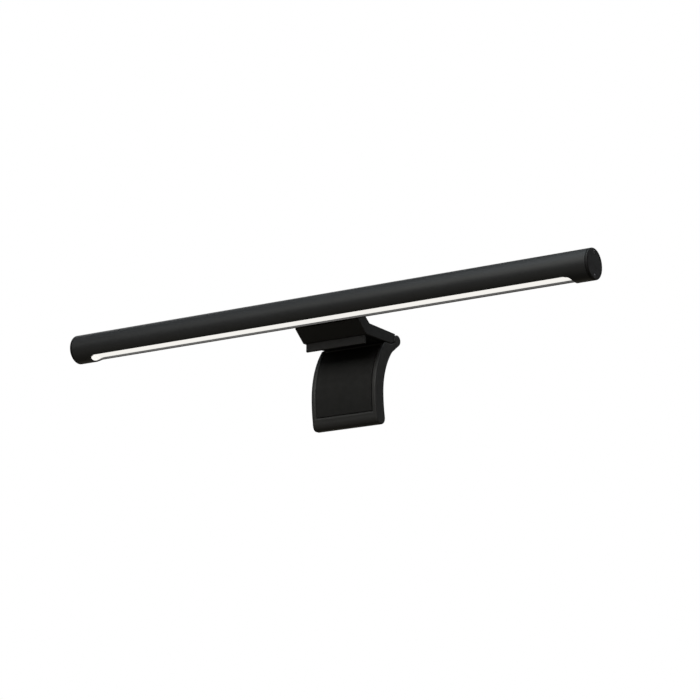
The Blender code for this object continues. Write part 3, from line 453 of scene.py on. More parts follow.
def combine(mesh, helpers, operation):
    """The mesh after Booleans with each helper mesh in turn."""
    holders = []
    for part in [mesh, *helpers]:
        holder = bpy.data.objects.new("holder", part)
        bpy.context.scene.collection.objects.link(holder)
        holders.append(holder)
    for holder in holders[1:]:
        modifier = holders[0].modifiers.new("combine", "BOOLEAN")
        modifier.operation = operation
        modifier.solver = "EXACT"
        modifier.object = holder
    bpy.context.view_layer.update()
    made = evaluated_mesh(holders[0])
    for holder in holders:
        data = holder.data
        bpy.data.objects.remove(holder, do_unlink=True)
        bpy.data.meshes.remove(data)
    return made


def cut(mesh, *helpers):
    return combine(mesh, helpers, "DIFFERENCE")


def join(mesh, *helpers):
    return combine(mesh, helpers, "UNION")


def moved(mesh, matrix):
    mesh.transform(matrix)
    return mesh


# ---------------------------------------------------------------- finishes


# Sizes of the soft clouds in a finish's colour and gloss, in millimetres, and how much of the
# colour's change comes from its fine grain.
COLOUR_CLOUDS = 14
GLOSS_CLOUDS = 5
GRAIN_SHARE = 0.45
# How many finer layers each noise texture adds.
COLOUR_DETAIL = 3
GRAIN_DETAIL = 2
GLOSS_DETAIL = 4
# The part of a noise texture's range that holds most of its values.
NOISE_RANGE = (0.3, 0.7)
GLOSS_SPREAD = 0.05
BUMP_STRENGTH = 0.35
LINE_STRETCH = 0.03
LENS_GLOW = (1.0, 0.985, 0.95, 1)
LENS_GLOW_STRENGTH = 0.84

# Slot: material name, colour, roughness, metallic, mottle, grain, depth, and for some of them
# whether the grain is drawn into lines along X, and the specular level.
FINISHES = {
    "bar_black": ("satin_anodised", (0.0243, 0.025, 0.0265), 0.42, 0.0, 0.12, 0.25, 0.006, True),
    "cap_black": ("moulded_black", (0.011, 0.011, 0.0115), 0.5, 0.0, 0.12, 0.35, 0.012, False, 0.3),
    "diffuser_white": ("frosted_acrylic", (0.9, 0.89, 0.86), 0.5, 0.0, 0.015, 0.3, 0.004),
    "reflector_white": ("reflector_film", (0.88, 0.88, 0.87), 0.35, 0.0, 0.02, 0.5, 0.002),
    "rail_aluminium": ("extruded_aluminium", (0.6, 0.61, 0.62), 0.38, 1.0, 0.06, 0.2, 0.01, True),
    "led_board_white": ("white_solder_mask", (0.84, 0.84, 0.8), 0.42, 0.0, 0.03, 0.6, 0.004),
    "board_green": ("green_solder_mask", (0.02, 0.13, 0.05), 0.35, 0.0, 0.2, 0.7, 0.01),
    "film_amber": ("amber_film", (0.62, 0.36, 0.08), 0.25, 0.0, 0.06, 1.5, 0.004),
    "chip_black": ("chip_epoxy", (0.016, 0.016, 0.017), 0.55, 0.0, 0.15, 0.12, 0.006),
    "tin": ("tinned_steel", (0.6, 0.6, 0.61), 0.3, 1.0, 0.05, 0.4, 0.003),
    "ferrite": ("ferrite", (0.1, 0.1, 0.105), 0.7, 0.0, 0.2, 0.2, 0.015),
    "screw_black": ("black_oxide", (0.2, 0.2, 0.205), 0.33, 0.9, 0.2, 0.2, 0.004),
    "lead_red": ("lead_insulation", (0.4, 0.02, 0.02), 0.42, 0.0, 0.08, 0.5, 0.004),
    "keeper_steel": ("keeper_steel", (0.42, 0.42, 0.43), 0.34, 1.0, 0.08, 0.3, 0.006, True),
    "bracket_black": ("bracket_plastic", (0.0165, 0.0165, 0.0165), 0.55, 0.0, 0.14, 0.4, 0.018, False, 0.42),
    "rubber_black": ("black_rubber", (0.008, 0.008, 0.008), 0.8, 0.0, 0.15, 0.3, 0.02, False, 0.2),
    "plate_black": ("powder_coat", (0.016, 0.016, 0.0165), 0.55, 0.0, 0.15, 0.3, 0.02, False, 0.4),
    "nickel": ("nickel_plate", (0.64, 0.62, 0.58), 0.22, 1.0, 0.03, 0.5, 0.002),
    "zinc": ("zinc_plate", (0.55, 0.56, 0.58), 0.32, 1.0, 0.08, 0.3, 0.004),
    "acetal": ("acetal", (0.74, 0.73, 0.69), 0.4, 0.0, 0.03, 0.5, 0.003),
    "spring_steel": ("spring_steel", (0.42, 0.41, 0.39), 0.3, 1.0, 0.08, 0.2, 0.003),
    "clamp_black": ("clamp_plastic", (0.0235, 0.0235, 0.0232), 0.55, 0.0, 0.14, 0.4, 0.018),
    "pad_silicone": ("silicone_pad", (0.0095, 0.0095, 0.0092), 0.7, 0.0, 0.12, 0.5, 0.012, False, 0.35),
    "counterweight_iron": ("cast_iron", (0.2, 0.2, 0.21), 0.6, 0.9, 0.2, 0.8, 0.05),
    "pin_steel": ("pin_steel", (0.55, 0.55, 0.56), 0.24, 1.0, 0.05, 0.2, 0.002, True),
}


def make_finish(name, colour, roughness, metallic, mottle, grain, depth, lines=False, specular=0.5):
    """A Principled material whose colour, gloss and surface vary the way a real finish does.

    Mottle is how far the colour varies, as a share. Grain is the size of the surface texture in
    millimetres and depth its height."""
    material = bpy.data.materials.new(name)
    material.use_nodes = True
    nodes, links = material.node_tree.nodes, material.node_tree.links
    shader = nodes["Principled BSDF"]
    shader.inputs["Metallic"].default_value = metallic
    shader.inputs["Specular IOR Level"].default_value = specular
    where = nodes.new("ShaderNodeTexCoord")
    stretch = nodes.new("ShaderNodeMapping")
    stretch.inputs["Scale"].default_value = (LINE_STRETCH if lines else 1, 1, 1)
    links.new(where.outputs["Object"], stretch.inputs["Vector"])

    def noise(size, detail, source):
        texture = nodes.new("ShaderNodeTexNoise")
        texture.inputs["Scale"].default_value = 1 / (size * MM)
        texture.inputs["Detail"].default_value = detail
        links.new(source, texture.inputs["Vector"])
        return texture.outputs["Fac"]

    clouds = noise(COLOUR_CLOUDS, COLOUR_DETAIL, where.outputs["Object"])
    fine = noise(grain, GRAIN_DETAIL, stretch.outputs["Vector"])
    blend = nodes.new("ShaderNodeMix")
    blend.inputs["Factor"].default_value = GRAIN_SHARE
    links.new(clouds, blend.inputs["A"])
    links.new(fine, blend.inputs["B"])
    ramp = nodes.new("ShaderNodeValToRGB")
    for stop, position, share in zip(ramp.color_ramp.elements, NOISE_RANGE, (1 - mottle, 1 + mottle)):
        stop.position = position
        stop.color = (*(value * share for value in colour), 1)
    links.new(blend.outputs["Result"], ramp.inputs["Fac"])
    links.new(ramp.outputs["Color"], shader.inputs["Base Color"])

    gloss = nodes.new("ShaderNodeMapRange")
    gloss.inputs["From Min"].default_value = NOISE_RANGE[0]
    gloss.inputs["From Max"].default_value = NOISE_RANGE[1]
    gloss.inputs["To Min"].default_value = roughness - GLOSS_SPREAD
    gloss.inputs["To Max"].default_value = roughness + GLOSS_SPREAD
    links.new(noise(GLOSS_CLOUDS, GLOSS_DETAIL, stretch.outputs["Vector"]), gloss.inputs["Value"])
    links.new(gloss.outputs["Result"], shader.inputs["Roughness"])

    bump = nodes.new("ShaderNodeBump")
    bump.inputs["Strength"].default_value = BUMP_STRENGTH
    bump.inputs["Distance"].default_value = depth * MM
    links.new(fine, bump.inputs["Height"])
    links.new(bump.outputs["Normal"], shader.inputs["Normal"])
    return material


def make_materials():
    """Every slot's material. The diffuser is also lit from inside."""
    materials = {slot: make_finish(*finish) for slot, finish in FINISHES.items()}
    lens = materials["diffuser_white"].node_tree.nodes["Principled BSDF"]
    lens.inputs["Emission Color"].default_value = LENS_GLOW
    lens.inputs["Emission Strength"].default_value = LENS_GLOW_STRENGTH
    return materials


# ---------------------------------------------------------------- pieces

FLAT_ANGLE = math.radians(0.05)
SHARP_ANGLE = math.radians(38)


def add_piece(name, mesh, body, slot, nodes, origin=(0, 0, 0)):
    """A mesh in millimetres becomes a piece that rides on a body and stands for CAD nodes."""
    shell = bmesh.new()
    shell.from_mesh(mesh)
    bmesh.ops.remove_doubles(shell, verts=shell.verts, dist=SHAPE_WELD)
    bmesh.ops.dissolve_limit(shell, angle_limit=FLAT_ANGLE, verts=shell.verts, edges=shell.edges)
    shell.transform(Matrix.Scale(MM, 4) @ Matrix.Translation(origin))
    face_outwards(shell)
    shell.to_mesh(mesh)
    shell.free()
    mesh.materials.clear()
    mesh.materials.append(MATERIALS[slot])
    mesh.shade_smooth()
    mesh.set_sharp_from_angle(angle=SHARP_ANGLE)
    piece = bpy.data.objects.new(name, mesh)
    bpy.context.scene.collection.objects.link(piece)
    normals = piece.modifiers.new("normals", "WEIGHTED_NORMAL")
    normals.keep_sharp = True
    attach(piece, body)
    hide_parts(*nodes)


def add_bar_piece(name, mesh, slot, *nodes):
    add_piece(name, mesh, "light_bar", slot, nodes, (0, *BAR_AXIS))


def add_clamp_piece(name, mesh, slot, *nodes):
    add_piece(name, mesh, "rear_clamp", slot, nodes, (0, *HINGE))


def add_bracket_piece(name, mesh, slot, *nodes):
    add_piece(name, mesh, "bracket", slot, nodes)


# ---------------------------------------------------------------- light bar


def window_outline(flat_half):
    """Side view (x, z) of the milled window: flat, with a round scoop at each end."""
    middle = WINDOW_HEIGHT - SCOOP_RADIUS
    right = arc((flat_half, middle), SCOOP_RADIUS, 90, 0, steps=28)
    left = arc((-flat_half, middle), SCOOP_RADIUS, 180, 90, steps=28)
    ends = [(flat_half + SCOOP_RADIUS, WINDOW_FLOOR), (-flat_half - SCOOP_RADIUS, WINDOW_FLOOR)]
    return left + right + ends


def window_cutter(flat_half, tilt, rise):
    """The window's outline drawn out across the bar, tilted about the bar's axis and raised."""
    cutter = prism([window_outline(flat_half)], -2 * BAR_RADIUS, 2 * BAR_RADIUS, along="Y")
    turn = Matrix.Rotation(math.radians(tilt), 4, "X")
    return moved(cutter, Matrix.Translation((0, 0, rise)) @ turn)


def edge_point(radius, across):
    """A point on the cut through the wall's front end, and beside it towards the window."""
    angle = math.pi + math.asin(-WINDOW_HEIGHT / BAR_RADIUS) + math.radians(WINDOW_TILT)
    outwards = (math.cos(angle), math.sin(angle))
    sideways = (-outwards[1], outwards[0])
    return tuple(radius * a + across * b for a, b in zip(outwards, sideways))


def tapered(outline, low, half):
    """An outline drawn out along X, whose upper side slopes down to this height at both ends."""
    shell = bmesh.new()
    for x, top in ((-half, low), (TAPER - half, 0), (half - TAPER, 0), (half, low)):
        for y, z in outline:
            shell.verts.new((x, y, min(z, top)))
    bmesh.ops.remove_doubles(shell, verts=shell.verts, dist=SHAPE_WELD)
    bmesh.ops.convex_hull(shell, input=shell.verts)
    spare = [vert for vert in shell.verts if not vert.link_faces]
    bmesh.ops.delete(shell, geom=spare, context="VERTS")
    return new_mesh(shell)


def make_bar_tube():
    """The housing, with its screw bosses, milled window, front rebate and power port."""
    rings = [circle((0, 0), radius, SEGMENTS_FINE) for radius in (BAR_RADIUS, BORE_RADIUS)]
    tube = prism(rings, -TUBE_HALF, TUBE_HALF, CAP_SEAM)
    bosses, holes = [], []
    for side in (-1, 1):
        for height in (-CAP_SCREW_RING, CAP_SCREW_RING):
            ends = sorted((side * BOSS_START, side * (TUBE_HALF - BOSS_INSET)))
            bosses.append(cylinder(BOSS_RADIUS, *ends, (0, height)))
            ends = sorted((side * (BOSS_START - OVERRUN), side * BAR_HALF))
            holes.append(cylinder(SHANK_HOLE, *ends, (0, height)))
    tube = cut(join(tube, *bosses), *holes)
    window = window_cutter(WINDOW_FLAT_HALF, WINDOW_TILT, 0)
    rebate = [edge_point(BAR_RADIUS + OVERRUN, 0), edge_point(BORE_RADIUS - OVERRUN, 0)]
    rebate += [(REBATE_REAR, height) for height in REBATE_HEIGHTS]
    front_end = tapered(rebate, REBATE_END_TOP, WINDOW_FLAT_HALF)
    port = prism([stadium(USB_SPOT, PORT_HOLE)], *PORT_DEPTHS, along="Y")
    add_bar_piece("bar_tube_shell", cut(tube, window, front_end, port), "bar_black", "bar_tube")


def make_diffuser():
    """The lens: a segment of the bore, with a nose that fills the rebate in the wall's front end."""
    reach = math.degrees(math.asin(-DIFFUSER_TOP / INNER_RADIUS))
    segment = arc((0, 0), BORE_RADIUS - LENS_GAP, -180 + reach, -reach, steps=60)
    lens = prism([segment], -DIFFUSER_HALF, DIFFUSER_HALF)
    nose = [edge_point(NOSE_FRONT, LENS_GAP), edge_point(BAR_RADIUS, LENS_GAP)]
    nose += [(NOSE_REAR, height) for height in NOSE_HEIGHTS]
    lens = join(lens, tapered(nose, NOSE_END_TOP, WINDOW_FLAT_HALF - NOSE_SHORTER))
    trough = window_cutter(WINDOW_FLAT_HALF + GAP, DIFFUSER_TILT, DIFFUSER_RISE)
    add_bar_piece("diffuser_lens", cut(lens, trough), "diffuser_white", "diffuser")


def make_end_cap(side, name):
    """A moulded cap: rounded edge, thin rim round a shallow recess, two countersinks."""
    rim = BAR_RADIUS - CAP_RIM
    floor = BAR_HALF - CAP_RECESS
    inner = BAR_HALF - CAP_THICKNESS
    profile = arc((floor + RIM_FOOT, rim - RIM_FOOT), RIM_FOOT, -180, -270, steps=4)
    profile += arc((BAR_HALF - RIM_EDGE, rim + RIM_EDGE), RIM_EDGE, -90, 0, steps=3)
    profile += arc((BAR_HALF - CAP_EDGE, BAR_RADIUS - CAP_EDGE), CAP_EDGE, 0, 90, steps=8)
    profile += arc((inner + CAP_SEAM, BAR_RADIUS - CAP_SEAM), CAP_SEAM, 90, 180, steps=4)
    cap = turned(profile, SEGMENTS_FINE)
    rings = [circle((0, 0), radius, SEGMENTS_FINE) for radius in (INNER_RADIUS, CAP_TONGUE_RADIUS)]
    tongues = prism(rings, CAP_TONGUE_START, inner + GAP, CAP_TONGUE_EDGE)
    gaps = []
    for low, high in ((CAP_TONGUE_HALF, PAST_BAR), (-PAST_BAR, -CAP_TONGUE_HALF)):
        gaps.append(box((CAP_TONGUE_START - OVERRUN, -PAST_BAR, low), (inner + OVERRUN, PAST_BAR, high)))
    cap = join(cap, cut(tongues, *gaps))
    spots = [(0, -CAP_SCREW_RING), (0, CAP_SCREW_RING)]
    cap = cut(cap, *[countersink(CAP_SCREW_FACE, inner - OVERRUN, -1, spot, "X") for spot in spots])
    if side < 0:
        moved(cap, Matrix.Rotation(math.pi, 4, "Z"))
    add_bar_piece("end_cap_" + name + "_moulding", cap, "cap_black", "end_cap_" + name)


def screw_mesh(length, turn):
    """A countersunk screw down -X, its head's top at x = 0, with a six-sided socket."""
    under = HEAD_LAND + HEAD_RADIUS - SHANK_RADIUS
    tip_length, tip_radius = SCREW_TIP
    profile = [(HEAD_CROWN, 0), (0.75 * HEAD_CROWN, 0.6 * HEAD_RADIUS), (0, HEAD_RADIUS - 1.5 * HEAD_CROWN)]
    profile += [(-HEAD_CROWN, HEAD_RADIUS), (-HEAD_LAND, HEAD_RADIUS), (-under, SHANK_RADIUS)]
    profile += [(-length, SHANK_RADIUS), (-length - tip_length, tip_radius)]
    socket = turned([(-DRIVE_DEPTH, DRIVE_RADIUS), (OVERRUN, DRIVE_RADIUS)], 6)
    socket = moved(socket, Matrix.Rotation(math.radians(turn), 4, "X"))
    return cut(turned(profile, SEGMENTS_COARSE), socket)


def make_cap_screws():
    for side, name in ((-1, "left"), (1, "right")):
        for level, (height, turn) in CAP_SCREWS.items():
            screw = screw_mesh(CAP_SCREW_LENGTH, turn)
            if side < 0:
                moved(screw, Matrix.Rotation(math.pi, 4, "Z"))
            moved(screw, Matrix.Translation((side * CAP_SCREW_FACE, 0, height)))
            full = f"cap_screw_{name}_{level}"
            add_bar_piece(full + "_head", screw, "screw_black", full)


def make_usb_socket():
    rings = [stadium(USB_SPOT, size) for size in (SURROUND, SURROUND_HOLE)]
    surround = prism(rings, *SURROUND_DEPTHS, SURROUND_EDGE, along="Y")
    add_bar_piece("usb_surround_ring", surround, "cap_black", "usb_surround")
    shell = prism([stadium(USB_SPOT, SOCKET)], *SOCKET_DEPTHS, SOCKET_EDGE, along="Y")
    shell = cut(shell, prism([stadium(USB_SPOT, SOCKET_MOUTH)], *MOUTH_DEPTHS, along="Y"))
    half_width, half_height = CONTACTS_HALF
    x, z = USB_SPOT
    left, right = x - half_width, x + half_width
    inner, outer = CONTACTS_DEPTHS
    corners = [(left, inner, 0), (right, inner, 0)]
    corners += [(right, outer, CONTACTS_CORNER), (left, outer, CONTACTS_CORNER)]
    tongue = prism([rounded(corners)], z - half_height, z + half_height, CONTACTS_EDGE, along="Z")
    add_bar_piece("usb_socket_shell", join(shell, tongue), "tin", "usb_socket")


# ---------------------------------------------------------------- bracket


def on_bar(radius, angle):
    """A point (y, z) at this distance and angle from the bar's axis."""
    turn = math.radians(angle)
    return (BAR_AXIS[0] + radius * math.cos(turn), BAR_AXIS[1] + radius * math.sin(turn))


def bracket_outline():
    """The bracket from the side. Arcs stop short of a rounded corner, to leave it room."""
    top, low = SADDLE_ANGLES
    saddle = arc(BAR_AXIS, SADDLE_RADIUS, top - CORNER_ROOM, low + CORNER_ROOM, steps=40)
    barrel = arc(HINGE, KNUCKLE_RADIUS + BARREL_CLEARANCE, *BARREL_ARC, steps=18)
    back = arc(BAR_AXIS, SADDLE_BACK, NECK_START, top - CORNER_ROOM, steps=20)
    corners = [(*on_bar(SADDLE_RADIUS, top), SADDLE_TIP), *plain(saddle)]
    corners += [(*on_bar(SADDLE_RADIUS, low), SADDLE_TIP), NECK_FRONT, BARREL_FRONT, *plain(barrel)]
    corners += [ARM_TOP_REAR, ARM_TOP_FRONT, *plain(back), (*on_bar(SADDLE_BACK, top), SADDLE_TIP)]
    return rounded(corners)


def magnet_pockets():
    """Cutters for the two magnets, pressed in from the bar's side of the saddle."""
    half_x, half_depth, half_height = MAGNET_POCKET
    centre = Matrix.Translation((0, *on_bar(MAGNET_DISTANCE, MAGNET_TURN)))
    place = centre @ Matrix.Rotation(math.radians(MAGNET_TURN), 4, "X")
    pockets = []
    for x in (-MAGNET_X, MAGNET_X):
        low = (x - half_x, -MAGNET_POCKET_MOUTH, -half_height)
        pockets.append(moved(box(low, (x + half_x, half_depth, half_height)), place))
    return pockets


def make_bracket_shell():
    """Saddle, neck and arm, with the hinge barrel on its web, and room for the plate and magnets."""
    shell = prism([bracket_outline()], -BRACKET_HALF, BRACKET_HALF, BRACKET_EDGE)
    barrel = prism([circle(HINGE, KNUCKLE_RADIUS, SEGMENTS_MEDIUM)], -BARREL_HALF, BARREL_HALF, BARREL_EDGE)
    below, above = WEB_REAR
    web = [(WEB_FRONT, ARM_BOTTOM), below, (HINGE[0], HINGE[1] - KNUCKLE_RADIUS)]
    web += [(HINGE[0], HINGE[1] + KNUCKLE_RADIUS), above, (WEB_FRONT, WEB_TOP)]
    shell = join(shell, barrel, prism([web], -BARREL_HALF + BARREL_EDGE, BARREL_HALF - BARREL_EDGE))
    low = (PLATE_LOW.x - PLATE_ROOM, PLATE_LOW.y - PLATE_ROOM, 0)
    high = (PLATE_HIGH.x + PLATE_ROOM, PLATE_HIGH.y + PLATE_ROOM, PLATE_HIGH.z + GAP)
    bore = cylinder(BARREL_BORE, -BARREL_BORE_HALF, BARREL_BORE_HALF, HINGE)
    shell = cut(shell, bore, box(low, high), box(*HOLLOW))
    posts = [cylinder(PLATE_POST, *PLATE_POST_HEIGHTS, spot, "Z") for spot in PLATE_SCREWS]
    holes = [cylinder(SHANK_HOLE, *PLATE_HOLE_HEIGHTS, spot, "Z") for spot in PLATE_SCREWS]
    shell = cut(cut(join(shell, *posts), *holes), *magnet_pockets())
    add_bracket_piece("bracket_moulding", shell, "bracket_black", "bracket_shell")


def make_saddle_liner():
    outline = band(BAR_AXIS, BAR_RADIUS + GAP, LINER_BACK, *LINER_ANGLES[::-1], steps=40)
    liner = prism([outline], -LINER_HALF, LINER_HALF, LINER_EDGE)
    add_bracket_piece("saddle_lining", liner, "rubber_black", "saddle_liner")


def make_base_plate():
    """A steel plate under the arm, bent down in front into the lip."""
    front, rear = PLATE_LOW.y, PLATE_HIGH.y
    lip_rear = front + LIP_THICKNESS
    corners = [(front, PLATE_HIGH.z, LIP_CORNER), (front, PLATE_LOW.z, LIP_CORNER)]
    corners += [(lip_rear, PLATE_LOW.z, LIP_CORNER), (lip_rear, ARM_BOTTOM, LIP_BEND)]
    corners += [(rear, ARM_BOTTOM, PLATE_CORNER), (rear, PLATE_HIGH.z, PLATE_CORNER)]
    plate = prism([rounded(corners)], PLATE_LOW.x, PLATE_HIGH.x, PLATE_EDGE)
    end = PLATE_HIGH.z + OVERRUN
    holes = [countersink(PLATE_SCREW_FACE, end, 1, spot, "Z") for spot in PLATE_SCREWS]
    add_bracket_piece("base_plate_steel", cut(plate, *holes), "plate_black", "base_plate")


def pad_outline(low, high, radius):
    return rounded([(*low, radius), (high[0], low[1], radius), (*high, radius), (low[0], high[1], radius)])


def groove_outline(low, high, middle, groove):
    """A groove along X between a pad's two ends. Groove is its half width and corner radius."""
    half_width, radius = groove
    start, end = low + GROOVE_INSET, high - GROOVE_INSET
    return pad_outline((start, middle - half_width), (end, middle + half_width), radius)


def make_pads():
    """Two rubber pads with shallow grooves along them, on the faces that meet the monitor."""
    low, high = corners_of("rest_pad")
    outline = pad_outline((low.x, low.y), (high.x, high.y), REST_PAD_CORNER)
    rest = prism([outline], low.z, high.z, PAD_EDGE, "Z")
    grooves = []
    for y in REST_GROOVE_PLACES:
        outline = groove_outline(low.x, high.x, y, REST_GROOVE)
        grooves.append(prism([outline], low.z - OVERRUN, low.z + REST_GROOVE_DEPTH, along="Z"))
    add_bracket_piece("rest_pad_rubber", cut(rest, *grooves), "rubber_black", "rest_pad")
    low, high = corners_of("lip_pad")
    outline = pad_outline((low.x, low.z), (high.x, high.z), LIP_PAD_CORNER)
    lip = prism([outline], low.y, high.y, PAD_EDGE, "Y")
    grooves = []
    for share in LIP_GROOVE_SHARES:
        outline = groove_outline(low.x, high.x, low.z + (high.z - low.z) * share, LIP_GROOVE)
        grooves.append(prism([outline], high.y - LIP_GROOVE_DEPTH, high.y + OVERRUN, along="Y"))
    add_bracket_piece("lip_pad_rubber", cut(lip, *grooves), "rubber_black", "lip_pad")


def make_hinge_bushes():
    """Two flanged bushes in the barrel's ends, each a profile of (x, radius) turned about the pin."""
    radius, thickness = BUSH_FLANGE
    outer_edge, inner_edge = BUSH_EDGE
    sleeve_radius, sleeve_length = BUSH_SLEEVE
    profile = [(thickness, PIN_BORE), (thickness, radius - outer_edge), (thickness - outer_edge, radius)]
    profile += [(inner_edge, radius), (0, radius - inner_edge), (0, sleeve_radius)]
    profile += [(-sleeve_length, sleeve_radius), (-sleeve_length, PIN_BORE)]
    for side, name in ((-1, "left"), (1, "right")):
        bush = turned(profile, closed=True)
        if side < 0:
            moved(bush, Matrix.Rotation(math.pi, 4, "Z"))
        moved(bush, Matrix.Translation((side * (BARREL_HALF + GAP), *HINGE)))
        add_bracket_piece(f"hinge_bush_{name}_turned", bush, "acetal", "hinge_bush_" + name)


# ---------------------------------------------------------------- clamp


def clamp_point(depth, angle):
    """A point at this depth behind the clamp's front face. The angle is 0 at the knee, where the
    plate is upright, positive above it and negative below it."""
    turn = math.radians(abs(angle))
    if angle >= 0:
        radius = UPPER_RADIUS - depth
        return (UPPER_CENTRE - radius * math.cos(turn), CLAMP_KNEE + radius * math.sin(turn))
    radius = LOWER_RADIUS - depth
    return (LOWER_CENTRE - radius * math.cos(turn), CLAMP_KNEE - radius * math.sin(turn))


def clamp_face(depth, high, low, steps):
    """The plate's curve at one depth, from the high angle down to the low one."""
    upper = [clamp_point(depth, high * (1 - i / steps)) for i in range(steps)]
    lower_steps = steps // 4
    return upper + [clamp_point(depth, low * i / lower_steps) for i in range(lower_steps + 1)]


def depth_at(depth, z):
    """How far forward (y) the plate's curve at one depth lies at this height."""
    rise = z - CLAMP_KNEE
    centre, radius = (UPPER_CENTRE, UPPER_RADIUS) if rise >= 0 else (LOWER_CENTRE, LOWER_RADIUS)
    return centre - math.sqrt((radius - depth) ** 2 - rise**2)


def clamp_layers(layers, angles):
    """A closed shape that follows the plate's curve, built up from layers of (inset, depth).

    An inset draws the layer's four sides in from the half width and angles given, and a negative
    one lets them out."""
    half_width, high, low = angles
    shell = bmesh.new()
    rows = []
    for inset, depth in layers:
        top = high - math.degrees(inset / UPPER_RADIUS)
        bottom = low + math.degrees(inset / LOWER_RADIUS)
        curve = clamp_face(depth, top, bottom, STATIONS)
        half = half_width - inset
        rows.append([[shell.verts.new((side * half, y, z)) for y, z in curve] for side in (-1, 1)])
    last = len(rows[0][0]) - 1
    for (left, right), (next_left, next_right) in zip(rows, rows[1:]):
        for i in range(last):
            shell.faces.new((left[i], left[i + 1], next_left[i + 1], next_left[i]))
            shell.faces.new((right[i], next_right[i], next_right[i + 1], right[i + 1]))
        for i in (0, last):
            shell.faces.new((left[i], right[i], next_right[i], next_left[i]))
    for left, right in (rows[0], rows[-1]):
        for i in range(last):
            shell.faces.new((left[i], right[i], right[i + 1], left[i + 1]))
    return new_mesh(shell)


def flare(radius, face, outwards):
    """Layers that lead from a wall out to a face round an edge of this radius.

    Outwards is -1 where the face lies at a smaller depth than the wall, and 1 at a greater one."""
    layers = []
    for i in range(FLARE_STEPS + 1):
        turn = math.pi / 2 * i / FLARE_STEPS
        inset = -radius * (1 - math.cos(turn))
        layers.append((inset, face - outwards * radius * (1 - math.sin(turn))))
    return layers


def bottom_corner(side, size, start, end):
    """The rounded corner between one side of the plate and its bottom edge."""
    across, up = size
    inwards = across if start < 270 else -across
    points = arc((0, 0), 1, start, end, steps=14)
    return [(side + inwards + y * across, CLAMP_BOTTOM + up + z * up) for y, z in points]


def clamp_outline():
    """The rear clamp from the side: two curved faces, rounded bottom corners and the knuckle.

    The front face's first points are left out, to leave its rounded top corner room."""
    front = clamp_face(0, *FRONT_ANGLES, steps=60)
    rear = clamp_face(CLAMP_THICKNESS, *REAR_ANGLES, steps=60)[::-1]
    corners = bottom_corner(front[-1][0], FRONT_CORNER, FRONT_CORNER_START, 270)
    corners += bottom_corner(rear[0][0], REAR_CORNER, 270, REAR_CORNER_END)
    knuckle = arc((0, 0), KNUCKLE_RADIUS, *KNUCKLE_ANGLES, steps=60)
    top = [CLAMP_TOP_FRONT, (*front[0], FRONT_TOP_CORNER)]
    return rounded(plain(corners + rear + knuckle) + top + plain(front[3:]))


def make_clamp_housing():
    """The curved plate, recessed in front for its pad and hollow behind, with the hinge's fork."""
    housing = prism([clamp_outline()], -CLAMP_HALF, CLAMP_HALF, CLAMP_EDGE)
    bead = [(-BEAD_EDGE, -CURVED_OVERRUN)] + flare(BEAD_EDGE, 0, -1)[::-1] + [(0, RECESS_DEPTH)]
    recess = clamp_layers(bead, (RECESS_HALF, *RECESS_ANGLES))
    walls = [(0, WALL_DEPTH)] + flare(CAVITY_EDGE, CLAMP_THICKNESS, 1)
    walls += [(-CAVITY_EDGE, CLAMP_THICKNESS + CURVED_OVERRUN)]
    cavity = clamp_layers(walls, (CAVITY_HALF, *CAVITY_ANGLES))
    notch = cylinder(KNUCKLE_RADIUS + KNUCKLE_ROOM, -KNUCKLE_INNER, KNUCKLE_INNER)
    low = (-KNUCKLE_INNER, WEB_NOTCH_FRONT, CLAMP_TOP)
    web_notch = box(low, (KNUCKLE_INNER, WEB_NOTCH_REAR, KNUCKLE_RADIUS + OVERRUN))
    bore = cylinder(PIN_BORE, PIN_BORE_START, PIN_HIGH.x + GAP)
    seat = cylinder(PIN_SEAT, PIN_BORE_START, PIN_LOW.x)
    housing = cut(housing, notch, web_notch, recess, cavity, bore, seat)
    holes = []
    for x, z in CLAMP_SCREWS:
        floor = depth_at(RECESS_DEPTH, z)
        holes.append(countersink(floor + GAP, floor + CLAMP_HOLE_LENGTH, 1, (x, z), "Y"))
    add_clamp_piece("clamp_moulding", cut(housing, *holes), "clamp_black", "clamp_housing")


def make_back_cover():
    """The shell that closes the plate's hollow from behind, with a post round each screw."""
    layers = [(0, COVER_DEPTH)]
    for turn in EDGE_TURNS:
        inset = COVER_EDGE * (1 - math.cos(turn))
        layers.append((inset, CLAMP_THICKNESS - COVER_EDGE * (1 - math.sin(turn))))
    narrower, lower, higher = COVER_SMALLER
    high, low = CAVITY_ANGLES
    cover = clamp_layers(layers, (CAVITY_HALF - narrower, high - lower, low + higher))
    posts, holes = [], []
    for x, z in CLAMP_SCREWS:
        inner = depth_at(COVER_DEPTH, z)
        ahead, behind = COVER_POST_REACH
        posts.append(cylinder(COVER_POST, inner - ahead, inner + behind, (x, z), "Y"))
        start, end = COVER_HOLE_REACH
        holes.append(cylinder(SHANK_HOLE, inner - start, inner - end, (x, z), "Y"))
    cover = cut(join(cover, *posts), *holes)
    add_clamp_piece("back_cover_moulding", cover, "clamp_black", "clamp_back_cover")


def make_clamp_pad():
    """The silicone sheet in the plate's recess, a little below its rim."""
    layers = []
    for turn in EDGE_TURNS:
        inset = CLAMP_PAD_EDGE * (1 - math.sin(turn))
        layers.append((inset, PAD_FACE + CLAMP_PAD_EDGE * (1 - math.cos(turn))))
    layers.append((0, PAD_REAR))
    narrower, lower, higher = PAD_SMALLER
    high, low = RECESS_ANGLES
    pad = clamp_layers(layers, (RECESS_HALF - narrower, high - lower, low + higher))
    add_clamp_piece("clamp_pad_silicone", pad, "pad_silicone", "clamp_pad")


